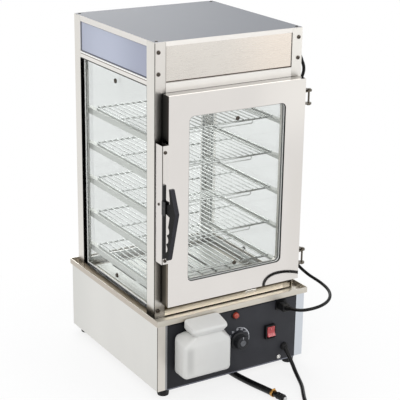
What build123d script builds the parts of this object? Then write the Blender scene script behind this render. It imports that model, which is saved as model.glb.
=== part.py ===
from build123d import *

import os
from math import atan, cos, degrees, pi, radians, sin, tan

# Heated display case: a glass cabinet with five wire racks on a steam base, with a hinged front door.
# Millimetres. While modelling, x = y = 0 is the middle of the glass cabinet and z = 0 is the floor.
# The front faces -Y. Every node is moved by FOOTPRINT_CENTRE when it is written.

# Driving sizes of the cabinet
CABINET_X = 170.0
CABINET_Y = 172.0
CABINET_TOP = 730.0
SHEET = 1.2
POST_WIDTH = 24.0
FRONT_POST_DEPTH = 31.6
REAR_POST_DEPTH = 27.4
POST_RETURN = 8.0
HEADER_BOTTOM = 650.0
SIDE_RAIL_TOP = 655.0
SIDE_OPENING_TOP = 640.0
SIDE_OPENING_BOTTOM = 178.0
FRONT_OPENING_TOP = 615.0
FRONT_OPENING_BOTTOM = 214.0
CORNER_GAP = 0.2
GLASS = 4.0

# Driving sizes of the base and its drip tray
BASE_X = 179.9
BASE_FRONT = -202.7
BASE_REAR = 184.6
BASE_BOTTOM = 17.5
TRAY_X = 183.3
TRAY_FRONT = -208.8
TRAY_REAR = 188.0
TRAY_BOTTOM = 164.0
TRAY_LIP_TOP = 176.0
TRAY_TOP = TRAY_BOTTOM + SHEET
PAN_OPENING = 140.0
FOOT_RADIUS = 13.5
FOOT_INSET_X = 24.0
FOOT_INSET_Y = 17.0

# Driving sizes of the control panel
PANEL_LEFT = -156.0
PANEL_RIGHT = 159.0
PANEL_BOTTOM = 15.5
PANEL_TOP = 158.5
PANEL_THICKNESS = 1.5
LAMP_AT = (5.0, 148.0)
KNOB_AT = (13.5, 89.5)
SWITCH_AT = (92.0, 92.0)
SOCKET_AT = (119.0, 147.0)
GLAND_AT = (131.0, 48.0)
FILLER_PORT_AT = (-88.0, 90.0)

# Driving sizes of the door
DOOR_LEFT = -154.3
DOOR_RIGHT = 164.3
DOOR_BOTTOM = 197.2
DOOR_TOP = 630.9
DOOR_FRONT = -198.9
DOOR_BACK = -174.6
WINDOW_LEFT = -109.0
WINDOW_RIGHT = 117.0
WINDOW_BOTTOM = 244.0
WINDOW_TOP = 586.5
WINDOW_CORNER = 11.0
WINDOW_RECESS = 9.5
HINGE_X = 182.4
HINGE_Y = -185.4
HINGE_SPANS = ((223.0, 257.0), (572.0, 603.5))
HINGE_EAR_RADIUS = 6.0
HINGE_PIN_RADIUS = 2.0
HINGE_CLEARANCE = 0.05

# Driving sizes of the latch and its handle
LATCH_X = -168.4
LATCH_BOTTOM = 292.0
LATCH_TOP = 535.0
HANDLE_X = -164.5
HANDLE_WIDTH = 9.5
HANDLE_ARM = 5.2
HANDLE_FRONT = -250.5
HANDLE_PIVOT = (-207.5, 412.0)
HANDLE_PIN_RADIUS = 2.0

# Driving sizes of the racks
RACK_COUNT = 5
RACK_PITCH = 77.6
LOWEST_RACK = 222.0
RACK_X = 150.0
RACK_FRONT = -116.0
RACK_REAR = 122.0
RACK_ROD = 2.0
RACK_WIRE = 1.25
RACK_WIRES = 13
SLOTS_PER_PITCH = 2

# The footprint runs from the tray's left lip to the hinge, and from the filler's lid to the tray's rear lip.
HINGE_REACH = HINGE_X + HINGE_EAR_RADIUS
FILLER_FRONT = -252.0
FOOTPRINT_CENTRE = ((HINGE_REACH - TRAY_X) / 2, (TRAY_REAR + FILLER_FRONT) / 2)


def block(x0, x1, y0, y1, z0, z1):
    """A box given by its two corners."""
    return Pos((x0 + x1) / 2, (y0 + y1) / 2, (z0 + z1) / 2) * Box(x1 - x0, y1 - y0, z1 - z0)


def rod(start, end, radius):
    """A round bar from one point to another."""
    axis = Vector(*end) - Vector(*start)
    return extrude(Plane(origin=start, z_dir=axis) * Circle(radius), amount=axis.length)


def bar(start, end, radius, sides=12):
    """A many-sided bar, which stands for round bar on small repeated pieces."""
    axis = Vector(*end) - Vector(*start)
    return extrude(Plane(origin=start, z_dir=axis) * RegularPolygon(radius, sides), amount=axis.length)


def sleeve(start, end, start_radius, end_radius):
    """A tapered twelve-sided sleeve from one point to another."""
    axis = Vector(*end) - Vector(*start)
    taper = degrees(atan((start_radius - end_radius) * cos(pi / 12) / axis.length))
    return extrude(Plane(origin=start, z_dir=axis) * RegularPolygon(start_radius, 12), amount=axis.length, taper=taper)


def turned(profile, origin, direction):
    """A solid turned from (radius, height) points about a line through origin."""
    half = make_face(Polyline(*[(r, 0, h) for r, h in profile], close=True))
    return Plane(origin=origin, z_dir=direction) * revolve(half, Axis.Z)


def bent_along_x(points, x0, x1, thickness=SHEET):
    """A folded sheet whose mid-line is given as (y, z) points."""
    strip = trace(Polyline(*points), thickness)
    return Pos(x0, 0, 0) * extrude(Plane.YZ * strip, amount=x1 - x0)


def bent_along_y(points, y0, y1, thickness=SHEET):
    """A folded sheet whose mid-line is given as (x, z) points."""
    strip = trace(Polyline(*points), thickness)
    return Pos(0, y1, 0) * extrude(Plane.XZ * strip, amount=y1 - y0)


def bent_along_z(points, z0, z1, thickness=SHEET):
    """A folded sheet whose mid-line is given as (x, y) points."""
    strip = trace(Polyline(*points), thickness)
    return Pos(0, 0, z0) * extrude(strip, amount=z1 - z0)


def mirrored(part):
    """The same piece on the other side of the cabinet."""
    return mirror(part, Plane.YZ)


def group(parts):
    """Separate solids that share one node."""
    return Compound([solid for part in parts for solid in part.solids()])


def window_ring(margin, thickness, y0, y1):
    """A ring that follows the door's window, margin outside its edge."""
    width = WINDOW_RIGHT - WINDOW_LEFT + 2 * margin
    height = WINDOW_TOP - WINDOW_BOTTOM + 2 * margin
    corner = WINDOW_CORNER + margin
    outer = RectangleRounded(width, height, corner)
    inner = RectangleRounded(width - 2 * thickness, height - 2 * thickness, corner - thickness)
    return window_plane(y1) * extrude(outer - inner, amount=y1 - y0)


def window_plug(margin, y0, y1):
    """A slab with the outline of the door's window."""
    width = WINDOW_RIGHT - WINDOW_LEFT + 2 * margin
    height = WINDOW_TOP - WINDOW_BOTTOM + 2 * margin
    outline = RectangleRounded(width, height, WINDOW_CORNER + margin)
    return window_plane(y1) * extrude(outline, amount=y1 - y0)


def window_plane(y):
    """A plane facing the front at the middle of the door's window."""
    middle = ((WINDOW_LEFT + WINDOW_RIGHT) / 2, y, (WINDOW_BOTTOM + WINDOW_TOP) / 2)
    return Plane(origin=middle, x_dir=(1, 0, 0), z_dir=(0, -1, 0))


# Base
def base_housing():
    """The wrapped steel skirt of the base, open at the panel, with a seat for the tray."""
    outer = block(-BASE_X, BASE_X, BASE_FRONT, BASE_REAR, BASE_BOTTOM, TRAY_BOTTOM)
    inner = block(-BASE_X + SHEET, BASE_X - SHEET, BASE_FRONT + SHEET, BASE_REAR - SHEET, BASE_BOTTOM, TRAY_BOTTOM)
    skirt = outer - inner
    skirt -= block(PANEL_LEFT, PANEL_RIGHT, BASE_FRONT - 1, BASE_FRONT + SHEET, BASE_BOTTOM, PANEL_TOP)
    seat_width = 14.0
    seat = block(-BASE_X, BASE_X, BASE_FRONT, BASE_REAR, TRAY_BOTTOM - SHEET, TRAY_BOTTOM)
    seat -= block(-BASE_X + seat_width, BASE_X - seat_width, BASE_FRONT + seat_width, BASE_REAR - seat_width,
                  TRAY_BOTTOM - SHEET, TRAY_BOTTOM)
    return_depth = 12.0
    return_bottom = BASE_BOTTOM + SHEET + 0.3
    return_end = BASE_FRONT + return_depth
    left_return = block(PANEL_LEFT - SHEET, PANEL_LEFT, BASE_FRONT, return_end, return_bottom, TRAY_BOTTOM)
    right_return = block(PANEL_RIGHT, PANEL_RIGHT + SHEET, BASE_FRONT, return_end, return_bottom, TRAY_BOTTOM)
    skirt = skirt + seat + left_return + right_return
    vent_pitch = 14.0
    vent_count = 9
    for i in range(vent_count):
        x = (i - (vent_count - 1) / 2) * vent_pitch
        skirt -= block(x - 2, x + 2, BASE_REAR - 2 * SHEET, BASE_REAR + 1, 70, 105)
    return skirt


def base_bottom_plate():
    """The floor frame of the base, open in the middle for air, with a hole for the drain pipe."""
    edge = SHEET + 0.2
    plate = block(-BASE_X + edge, BASE_X - edge, BASE_FRONT + 3, BASE_REAR - edge, BASE_BOTTOM, BASE_BOTTOM + SHEET)
    plate -= block(-120, 120, -95, 125, BASE_BOTTOM - 1, BASE_BOTTOM + SHEET + 1)
    drain_x, drain_y = DRAIN_AT
    return plate - bar((drain_x, drain_y, BASE_BOTTOM - 1), (drain_x, drain_y, BASE_BOTTOM + 3), 9)


def control_panel():
    """The dark front plate, folded back at its top and bottom, drilled for its fittings."""
    gap = 0.3
    front = BASE_FRONT + PANEL_THICKNESS / 2
    bottom = PANEL_BOTTOM + PANEL_THICKNESS / 2
    top = PANEL_TOP - gap - PANEL_THICKNESS / 2
    panel = bent_along_x(
        [(BASE_FRONT + 4, bottom), (front, bottom), (front, top), (BASE_FRONT + 10, top)],
        PANEL_LEFT + gap,
        PANEL_RIGHT - gap,
        PANEL_THICKNESS,
    )
    for (x, z), radius in ((LAMP_AT, 6.2), (KNOB_AT, 5.4), (GLAND_AT, 6.2), (FILLER_PORT_AT, 8.2)):
        panel -= bar((x, BASE_FRONT - 1, z), (x, BASE_FRONT + 4, z), radius)
    for (x, z), half_x, half_z in ((SWITCH_AT, 10.6, 14.1), (SOCKET_AT, 9.1, 8.1)):
        panel -= block(x - half_x, x + half_x, BASE_FRONT - 1, BASE_FRONT + 4, z - half_z, z + half_z)
    return panel


def drip_tray():
    """The shallow tray on the base that catches water round the cabinet."""
    tray = block(-TRAY_X, TRAY_X, TRAY_FRONT, TRAY_REAR, TRAY_BOTTOM, TRAY_LIP_TOP)
    tray -= block(-TRAY_X + SHEET, TRAY_X - SHEET, TRAY_FRONT + SHEET, TRAY_REAR - SHEET, TRAY_TOP, TRAY_LIP_TOP)
    return tray - block(-PAN_OPENING, PAN_OPENING, -PAN_OPENING, PAN_OPENING, TRAY_BOTTOM - 1, TRAY_TOP + 1)


def rubber_feet():
    """Four tapered rubber feet under the corners of the base."""
    feet = []
    for x in (-BASE_X + FOOT_INSET_X, BASE_X - FOOT_INSET_X):
        for y in (BASE_FRONT + FOOT_INSET_Y + 1.4, BASE_REAR - FOOT_INSET_Y):
            top = Plane(origin=(x, y, BASE_BOTTOM), z_dir=(0, 0, -1)) * RegularPolygon(FOOT_RADIUS, 12)
            feet.append(extrude(top, amount=BASE_BOTTOM, taper=5))
    return group(feet)


# Water pan, heater and steam plate
DRAIN_AT = (8.0, -118.0)
DRAIN_Z = 8.5
DRAIN_OUTLET_Y = -150.0
PAN_WALL = 1.0
PAN_X = 137.0
PAN_BOTTOM = 104.0
PAN_RIM_TOP = TRAY_TOP + PAN_WALL
HEATER_Z = 120.0
STEAM_PLATE_FRONT = -118.0


def water_pan():
    """The deep-drawn pan that hangs in the tray, with its drain pipe turned to the front."""
    outer = chamfer(Rectangle(2 * PAN_X, 2 * PAN_X).vertices(), 10)
    inner = chamfer(Rectangle(2 * (PAN_X - PAN_WALL), 2 * (PAN_X - PAN_WALL)).vertices(), 9.4)
    pan = Pos(0, 0, PAN_BOTTOM) * extrude(outer, amount=PAN_RIM_TOP - PAN_BOTTOM)
    rim_half = PAN_OPENING + 8
    pan += block(-rim_half, rim_half, -rim_half, rim_half, TRAY_TOP, PAN_RIM_TOP)
    pan -= Pos(0, 0, PAN_BOTTOM + PAN_WALL) * extrude(inner, amount=PAN_RIM_TOP - PAN_BOTTOM)
    drain_x, drain_y = DRAIN_AT
    pan += bar((drain_x, drain_y, DRAIN_Z - 5), (drain_x, drain_y, PAN_BOTTOM), 6)
    pan += bar((drain_x, drain_y + 5, DRAIN_Z), (drain_x, DRAIN_OUTLET_Y, DRAIN_Z), 6)
    pan -= bar((drain_x, drain_y, DRAIN_Z), (drain_x, drain_y, PAN_BOTTOM + 2), 4.5)
    for x in HEATER_LEGS:
        pan -= bar((x, -PAN_X - 1, HEATER_Z), (x, -PAN_X + 3, HEATER_Z), HEATER_RADIUS + 0.2)
    return pan


HEATER_LEGS = (-45.0, 45.0)
HEATER_RADIUS = 4.0


def heating_element():
    """A sheathed hairpin heater whose two legs pass through the pan's front wall."""
    left, right = HEATER_LEGS
    points = [(left, -PAN_X - 14, HEATER_Z), (left, 95, HEATER_Z), (right, 95, HEATER_Z),
              (right, -PAN_X - 14, HEATER_Z)]
    path = FilletPolyline(*points, radius=40)
    return sweep(Plane(origin=path @ 0, z_dir=path % 0) * RegularPolygon(HEATER_RADIUS, 6), path=path)


def steam_plate():
    """The slotted plate over the water pan, which stops short of the pan's front so that drips run back."""
    half = 141.0
    plate = block(-half, half, STEAM_PLATE_FRONT, half, PAN_RIM_TOP, PAN_RIM_TOP + SHEET)
    slot_length = 108.0
    for row in (-1, 1):
        for column in range(7):
            x = (column - 3) * 36.0
            y = 11 + row * 62.0
            plate -= block(x - 3, x + 3, y - slot_length / 2, y + slot_length / 2, PAN_RIM_TOP - 1, PAN_RIM_TOP + 3)
    return plate


# Cabinet frame
def corner_post(front):
    """The left corner post: an angle whose two edges are folded in towards the glass."""
    side = -1 if front else 1
    depth = FRONT_POST_DEPTH if front else REAR_POST_DEPTH
    face_x = -CABINET_X + SHEET / 2
    face_y = side * (CABINET_Y - SHEET / 2)
    inner_x = -CABINET_X + POST_WIDTH - SHEET / 2
    inner_y = side * (CABINET_Y - depth + SHEET / 2)
    points = [
        (inner_x, face_y - side * (POST_RETURN - SHEET / 2)),
        (inner_x, face_y),
        (face_x, face_y),
        (face_x, inner_y),
        (face_x + POST_RETURN - SHEET / 2, inner_y),
    ]
    return bent_along_z(points, TRAY_TOP, CABINET_TOP - SHEET - CORNER_GAP)


PILASTER_X = 156.2
PILASTER_FRONT = -163.2
PILASTER_REAR = 158.0
PILASTER_LEG = 9.6
PILASTER_SIDE_LEG = 14.0


def shelf_pilasters():
    """Four slotted angle strips inside the corner posts, which carry the rack rails."""
    bottom = TRAY_TOP + 14
    top = 612.0
    pitch = RACK_PITCH / SLOTS_PER_PITCH
    strips = []
    for y, side in ((PILASTER_FRONT, -1), (PILASTER_REAR, 1)):
        points = [
            (-PILASTER_X + PILASTER_LEG, y - side * SHEET / 2),
            (-PILASTER_X + SHEET / 2, y - side * SHEET / 2),
            (-PILASTER_X + SHEET / 2, y - side * PILASTER_SIDE_LEG),
        ]
        strip = bent_along_z(points, bottom, top)
        slot_x = -PILASTER_X + PILASTER_LEG * 0.6
        count = int((top - bottom - 10) / pitch)
        slots = [
            block(slot_x - 1.6, slot_x + 1.6, y - 2, y + 2, bottom + 6 + i * pitch, bottom + 28 + i * pitch)
            for i in range(count)
        ]
        strip -= slots
        strips += [strip, mirrored(strip)]
    return group(strips)


def frame_rails():
    """The folded rails round the door opening and the three glass openings, with a small tab under the door."""
    half = CABINET_X - POST_WIDTH - CORNER_GAP
    face = -CABINET_Y + SHEET / 2
    inner = face + POST_RETURN
    rails = []
    for low, high in ((FRONT_OPENING_TOP, HEADER_BOTTOM), (TRAY_TOP, FRONT_OPENING_BOTTOM)):
        low += SHEET / 2
        high -= SHEET / 2
        rails.append(bent_along_x([(inner, high), (face, high), (face, low), (inner, low)], -half, half))
    rails[1] += block(50, 76, -CABINET_Y - 1, -CABINET_Y, 176, 180.5)
    y0 = -CABINET_Y + FRONT_POST_DEPTH + CORNER_GAP
    y1 = CABINET_Y - REAR_POST_DEPTH - CORNER_GAP
    for low, high in ((SIDE_OPENING_TOP, SIDE_RAIL_TOP), (TRAY_TOP, SIDE_OPENING_BOTTOM)):
        low += SHEET / 2
        high -= SHEET / 2
        face = CABINET_X - SHEET / 2
        inner = face - POST_RETURN + SHEET / 2
        side = bent_along_y([(-inner, high), (-face, high), (-face, low), (-inner, low)], y0, y1)
        rails += [side, mirrored(side)]
        face = CABINET_Y - SHEET / 2
        inner = face - POST_RETURN + SHEET / 2
        rails.append(bent_along_x([(inner, high), (face, high), (face, low), (inner, low)], -half, half))
    return group(rails)


def steel_header_panels():
    """The flat steel sheets of the front and rear header, set back a little."""
    half = CABINET_X - POST_WIDTH - 0.4
    recess = 1.6
    front = block(-half, half, -CABINET_Y + recess, -CABINET_Y + recess + SHEET, HEADER_BOTTOM + 0.7, 720.5)
    rear = block(-half, half, CABINET_Y - recess - SHEET, CABINET_Y - recess, SIDE_RAIL_TOP + 0.7, 720.5)
    return group([front, rear])


def light_box_panels():
    """The tinted acrylic sheets at the left and right of the lamp space."""
    recess = 2.5
    thickness = 3.0
    panel = block(
        -CABINET_X + recess,
        -CABINET_X + recess + thickness,
        -CABINET_Y + FRONT_POST_DEPTH + 0.3,
        CABINET_Y - REAR_POST_DEPTH - 0.3,
        SIDE_RAIL_TOP + 0.3,
        717.8,
    )
    return group([panel, mirrored(panel)])


def top_panel():
    """The lid, with a skirt folded down between the posts on each side."""
    sheet_bottom = CABINET_TOP - SHEET
    half = CABINET_X - POST_WIDTH - CORNER_GAP
    y0 = -CABINET_Y + FRONT_POST_DEPTH + CORNER_GAP
    y1 = CABINET_Y - REAR_POST_DEPTH - CORNER_GAP
    panel = block(-CABINET_X, CABINET_X, -CABINET_Y, CABINET_Y, sheet_bottom, CABINET_TOP)
    panel += block(-half, half, -CABINET_Y, -CABINET_Y + SHEET, 720.8, sheet_bottom)
    panel += block(-half, half, CABINET_Y - SHEET, CABINET_Y, 720.8, sheet_bottom)
    skirt = block(-CABINET_X, -CABINET_X + SHEET, y0, y1, 718.0, sheet_bottom)
    return panel + skirt + mirrored(skirt)


CEILING_Z = SIDE_RAIL_TOP + 0.1


def ceiling_panel():
    """The plate between the chamber and the lamp space, with a window for the lamp."""
    thickness = 1.0
    plate = block(-160.5, 160.5, -161.5, 161.5, CEILING_Z, CEILING_Z + thickness)
    plate += block(-164, 164, -138, 142, CEILING_Z, CEILING_Z + thickness)
    return plate - block(-95, 95, -35, 35, CEILING_Z - 1, CEILING_Z + 2)


LAMP_Z = 676.0
LAMP_HALF = 98.0


def lamp_tube():
    """The tubular lamp that lights the chamber through the ceiling window."""
    return rod((-LAMP_HALF, 0, LAMP_Z), (LAMP_HALF, 0, LAMP_Z), 8)


def lamp_holders():
    """Two end holders that stand on the ceiling plate."""
    holders = []
    for side in (-1, 1):
        x0, x1 = sorted((side * LAMP_HALF, side * (LAMP_HALF + 14)))
        holders.append(block(x0, x1, -10, 10, CEILING_Z + 1.0, LAMP_Z + 10))
    return group(holders)


# Glazing
GLASS_OUTER_X = CABINET_X - POST_RETURN - 1.6
GLASS_OUTER_Y = CABINET_Y - POST_RETURN - 1.6
GASKET = 1.5
STUD_Z = (196.0, 619.0)


def glass_panes():
    """The left, right and rear panes behind the posts' folded edges."""
    left = block(-GLASS_OUTER_X, -GLASS_OUTER_X + GLASS, -150, 154, TRAY_TOP + 2, 652)
    rear = block(-150, 150, GLASS_OUTER_Y - GLASS, GLASS_OUTER_Y, TRAY_TOP + 2, 652)
    return group([left, mirrored(left), rear])


def glass_gaskets():
    """Black sealing frames between each pane and the folded edges in front of it."""
    y0 = -CABINET_Y + FRONT_POST_DEPTH
    y1 = CABINET_Y - REAR_POST_DEPTH
    x0 = -GLASS_OUTER_X - GASKET
    x1 = -GLASS_OUTER_X
    low, high = SIDE_OPENING_BOTTOM, SIDE_OPENING_TOP
    left = block(x0, x1, y0 - 6, y1 + 6, low - 6, high + 6) - block(x0, x1, y0 + 2, y1 - 2, low + 2, high - 2)
    half = CABINET_X - POST_WIDTH
    y0 = GLASS_OUTER_Y
    y1 = GLASS_OUTER_Y + GASKET
    rear = block(-half - 3, half + 3, y0, y1, low - 6, high + 6) - block(
        -half + 2, half - 2, y0, y1, low + 2, high - 2
    )
    return group([left, mirrored(left), rear])


def glass_studs():
    """Round dark buttons at mid width near the top and bottom of each pane."""
    studs = []
    for z in STUD_Z:
        left = bar((-GLASS_OUTER_X, 5, z), (-GLASS_OUTER_X - 2.8, 5, z), 5, 8)
        studs += [left, mirrored(left), bar((0, GLASS_OUTER_Y, z), (0, GLASS_OUTER_Y + 2.8, z), 5, 8)]
    return group(studs)


# Racks and the rails that carry them
RAIL_OUTER = PILASTER_X - SHEET
RAIL_SHEET = 1.0


def rack_level(index):
    """The height of the underside of a rack, counted from the lowest."""
    return LOWEST_RACK + index * RACK_PITCH


def shelf_rails():
    """Ten angle rails, one at each side of each level, hung on the slotted strips."""
    rails = []
    for index in range(RACK_COUNT):
        top = rack_level(index) - RAIL_SHEET / 2
        outer = -RAIL_OUTER + RAIL_SHEET / 2
        rail = bent_along_y([(outer, top - 12), (outer, top), (outer + 11, top)], -160, 155, RAIL_SHEET)
        rails += [rail, mirrored(rail)]
    return group(rails)


def wire_rack(index):
    """A welded rack: a rod ring, a cross rod, wires from front to back and a low front bar."""
    z = rack_level(index) + RACK_ROD
    half_rod = 1.8
    x = RACK_X - RACK_ROD + half_rod
    y0 = RACK_FRONT + RACK_ROD - half_rod
    y1 = RACK_REAR - RACK_ROD + half_rod
    outer = chamfer((Pos(0, (y0 + y1) / 2) * Rectangle(2 * x, y1 - y0)).vertices(), 5)
    inner = chamfer((Pos(0, (y0 + y1) / 2) * Rectangle(2 * x - 7.2, y1 - y0 - 7.2)).vertices(), 3.5)
    rack = Pos(0, 0, z - half_rod) * extrude(outer - inner, amount=2 * half_rod)
    rack += block(-x + 3.6, x - 3.6, 10.5, 13.5, z - half_rod, z + half_rod)
    pitch = 2 * (x - 8) / (RACK_WIRES - 1)
    for i in range(RACK_WIRES):
        wire_x = -x + 8 + i * pitch
        rack += block(wire_x - 1.1, wire_x + 1.1, y0, y1, z + half_rod, z + half_rod + 2.2)
    stop = 94.0
    rack += block(-stop - 1.1, stop + 1.1, y0, y0 + 2.2, z - 9.1, z - 6.9)
    for side in (-stop, stop):
        rack += block(side - 1.1, side + 1.1, y0, y0 + 2.2, z - 6.9, z - half_rod)
    return rack


# Fittings on the control panel
def pilot_lamp():
    """The round red lamp: a collar, a domed lens and a barrel through the panel."""
    x, z = LAMP_AT
    front = BASE_FRONT - 2
    lamp = bar((x, BASE_FRONT + 18, z), (x, BASE_FRONT, z), 6)
    lamp += bar((x, BASE_FRONT, z), (x, front, z), 9)
    return lamp + sleeve((x, front, z), (x, front - 3.6, z), 8, 6.6) + sleeve((x, front - 3.6, z), (x, front - 6.6, z), 6.6, 3)


def thermostat_body():
    """The thermostat behind the panel, with a bushing for the spindle."""
    x, z = KNOB_AT
    bore = SPINDLE_RADIUS + HINGE_CLEARANCE
    case = bar((x, BASE_FRONT + 26, z), (x, BASE_FRONT + 2, z), 18)
    case += bar((x, BASE_FRONT + 2, z), (x, BASE_FRONT - 2.5, z), 5)
    return case - rod((x, BASE_FRONT + 27, z), (x, BASE_FRONT - 3, z), bore)


SPINDLE_RADIUS = 3.0
KNOB_RADIUS = 19.0
KNOB_GRIP = 16.0
KNOB_GAP = 3.2
KNOB_HEIGHT = 21.0


def thermostat_knob():
    """The fluted knob with a light cap at its centre, on its spindle."""
    x, z = KNOB_AT
    face = Plane(origin=(x, BASE_FRONT, z), x_dir=(1, 0, 0), z_dir=(0, -1, 0))
    skirt = face * Pos(0, 0, KNOB_GAP) * extrude(RegularPolygon(KNOB_RADIUS, 24), amount=2.5)
    star = []
    for i in range(24):
        reach = KNOB_GRIP * (1 - 0.08 * (i % 2))
        star.append((reach * cos(2 * pi * i / 24), reach * sin(2 * pi * i / 24)))
    grip_height = KNOB_HEIGHT - KNOB_GAP - 2.5
    grip = face * Pos(0, 0, KNOB_GAP + 2.5) * extrude(make_face(Polyline(*star, close=True)), amount=grip_height)
    cap = face * Pos(0, 0, KNOB_HEIGHT) * extrude(RegularPolygon(7, 12), amount=0.8)
    spindle = rod((x, BASE_FRONT + 22, z), (x, BASE_FRONT - KNOB_GAP, z), SPINDLE_RADIUS)
    return skirt + grip + cap + spindle


ROCKER_TILT = 9.0
ROCKER_PIN_RADIUS = 1.2
ROCKER_PIVOT_Y = BASE_FRONT + 3.0


def switch_housing():
    """The black bezel and box of the rocker switch, with holes for the rocker's pins."""
    x, z = SWITCH_AT
    bezel = block(x - 12.5, x + 12.5, BASE_FRONT - 2, BASE_FRONT, z - 15.5, z + 15.5)
    bezel = chamfer(bezel.edges().filter_by(Axis.Y), 1.2)
    box = block(x - 10.5, x + 10.5, BASE_FRONT, BASE_FRONT + 22, z - 14, z + 14)
    housing = bezel + box - block(x - 9.5, x + 9.5, BASE_FRONT - 3, BASE_FRONT + 19, z - 13.2, z + 13.2)
    bore = ROCKER_PIN_RADIUS + HINGE_CLEARANCE
    return housing - rod((x - 11, ROCKER_PIVOT_Y, z), (x + 11, ROCKER_PIVOT_Y, z), bore)


def switch_rocker():
    """The red rocker, stored with its upper half pressed in, with a pin at each side."""
    x, z = SWITCH_AT
    outline = Polyline(
        (-11, -9.5), (11, -9.5), (11.4, -2), (11.4, 9.2), (0, 6.4), (-11.4, 9.2), (-11.4, -2), close=True
    )
    plane = Plane(origin=(x - 9.2, ROCKER_PIVOT_Y, z), x_dir=(0, 0, 1), z_dir=(1, 0, 0))
    rocker = plane * extrude(make_face(Rot(0, 0, -ROCKER_TILT) * outline), amount=18.4)
    return rocker + rod((x - 10.3, ROCKER_PIVOT_Y, z), (x + 10.3, ROCKER_PIVOT_Y, z), ROCKER_PIN_RADIUS)


def lamp_socket():
    """The outlet on the panel that feeds the header lamp."""
    x, z = SOCKET_AT
    flange = block(x - 13, x + 13, BASE_FRONT - 3, BASE_FRONT, z - 10.5, z + 10.5)
    flange = chamfer(flange.edges().filter_by(Axis.Y), 2)
    return flange + block(x - 9, x + 9, BASE_FRONT, BASE_FRONT + 18, z - 8, z + 8)


def mains_gland():
    """The cord gland, with a tapered sleeve that leads the cord down."""
    x, z = GLAND_AT
    gland = bar((x, BASE_FRONT + 10, z), (x, BASE_FRONT, z), 6)
    gland += bar((x, BASE_FRONT, z), (x, BASE_FRONT - 4, z), 8.5)
    exit_point = Vector(*MAINS_EXIT)
    run = (Vector(*MAINS_ROUTE[1]) - exit_point).normalized()
    return gland + sleeve(tuple(exit_point - run * 22), MAINS_EXIT, 6.4, 4.8)


# Water filler box and its lid
FILLER_LEFT = -142.0
FILLER_RIGHT = -34.0
FILLER_BACK = BASE_FRONT - 0.3
FILLER_BODY_FRONT = -250.0
FILLER_BOTTOM = 54.0
FILLER_SHOULDER = 124.0
FILLER_NECK = 142.0
FILLER_NECK_BACK = -211.6
FILLER_WALL = 2.0


def crossed(front, side, plan):
    """The solid with this front outline of (x, z) points, side outline of (y, z) points and outline from above."""
    depth = Pos(0, -150, 0) * extrude(Plane.XZ * make_face(Polyline(*front, close=True)), amount=200)
    width = Pos(-200, 0, 0) * extrude(Plane.YZ * make_face(Polyline(*side, close=True)), amount=400)
    return depth & width & extrude(plan, amount=300)


def front_cut_plan(x0, x1, y0, y1, cut):
    """A rectangle seen from above whose two front corners are cut."""
    return make_face(Polyline((x0 + cut, y0), (x1 - cut, y0), (x1, y0 + cut), (x1, y1), (x0, y1), (x0, y0 + cut), close=True))


def filler_form(inset, bottom, top):
    """The bottle shape: straight body, sloping shoulder and neck, drawn in by inset."""
    left, right = FILLER_LEFT + inset, FILLER_RIGHT - inset
    front, back = FILLER_BODY_FRONT + inset, FILLER_BACK - inset
    low = bottom + 6
    return crossed(
        [(left + 6, bottom), (right - 6, bottom), (right, low), (right, FILLER_SHOULDER), (-52 - inset, FILLER_NECK),
         (-52 - inset, top), (-116 + inset, top), (-116 + inset, FILLER_NECK), (left, FILLER_SHOULDER), (left, low)],
        [(front + 6, bottom), (back, bottom), (back, FILLER_SHOULDER), (FILLER_NECK_BACK - inset, FILLER_NECK),
         (FILLER_NECK_BACK - inset, top), (-245 + inset, top), (-245 + inset, FILLER_NECK), (front, FILLER_SHOULDER),
         (front, low)],
        front_cut_plan(left, right, front, back, 6 - inset),
    )


def water_filler_box():
    """The moulded white tank at the front that feeds the pan, open at its neck."""
    tank = filler_form(0, FILLER_BOTTOM, FILLER_NECK + 9)
    tank -= filler_form(FILLER_WALL, FILLER_BOTTOM + FILLER_WALL, FILLER_NECK + 10)
    x, z = FILLER_PORT_AT
    return tank + bar((x, FILLER_BACK, z), (x, BASE_FRONT + 14, z), 8)


def filler_lid():
    """The sloping lid that lifts off the filler's neck."""
    low, edge = FILLER_NECK + 3, FILLER_NECK + 12
    outer = crossed(
        [(-120, low), (-48, low), (-42.5, edge), (-42.5, 185), (-125, 185), (-125, edge)],
        [(-248, low), (-209.4, low), (-209.4, 170), (FILLER_FRONT, 159.4), (FILLER_FRONT, edge)],
        front_cut_plan(-125, -42.5, FILLER_FRONT, -209.4, 5),
    )
    return outer - block(-116.4, -51.6, -245.4, FILLER_NECK_BACK + 1.0, FILLER_NECK, FILLER_NECK + 9.5)


# Door
def door_outer_skin():
    """The pressed front of the door: a pan with a window and a flange folded in round it."""
    skin = block(DOOR_LEFT, DOOR_RIGHT, DOOR_FRONT, DOOR_BACK, DOOR_BOTTOM, DOOR_TOP)
    skin -= block(DOOR_LEFT + SHEET, DOOR_RIGHT - SHEET, DOOR_FRONT + SHEET, DOOR_BACK, DOOR_BOTTOM + SHEET,
                  DOOR_TOP - SHEET)
    skin -= window_plug(0, DOOR_FRONT - 1, DOOR_FRONT + 2)
    return skin + window_ring(SHEET, SHEET, DOOR_FRONT, DOOR_FRONT + WINDOW_RECESS)


def door_inner_panel():
    """The plate that closes the back of the door, flanged forward to hold the glass."""
    edge = SHEET + 0.2
    panel = block(DOOR_LEFT + edge, DOOR_RIGHT - edge, DOOR_BACK - SHEET, DOOR_BACK, DOOR_BOTTOM + edge,
                  DOOR_TOP - edge)
    panel -= window_plug(3, DOOR_BACK - 3, DOOR_BACK + 1)
    return panel + window_ring(3 + SHEET, SHEET, DOOR_FRONT + WINDOW_RECESS + GLASS, DOOR_BACK)


def door_glass():
    """The door's pane, held between the two flanges."""
    return window_plug(7, DOOR_FRONT + WINDOW_RECESS, DOOR_FRONT + WINDOW_RECESS + GLASS)


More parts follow.
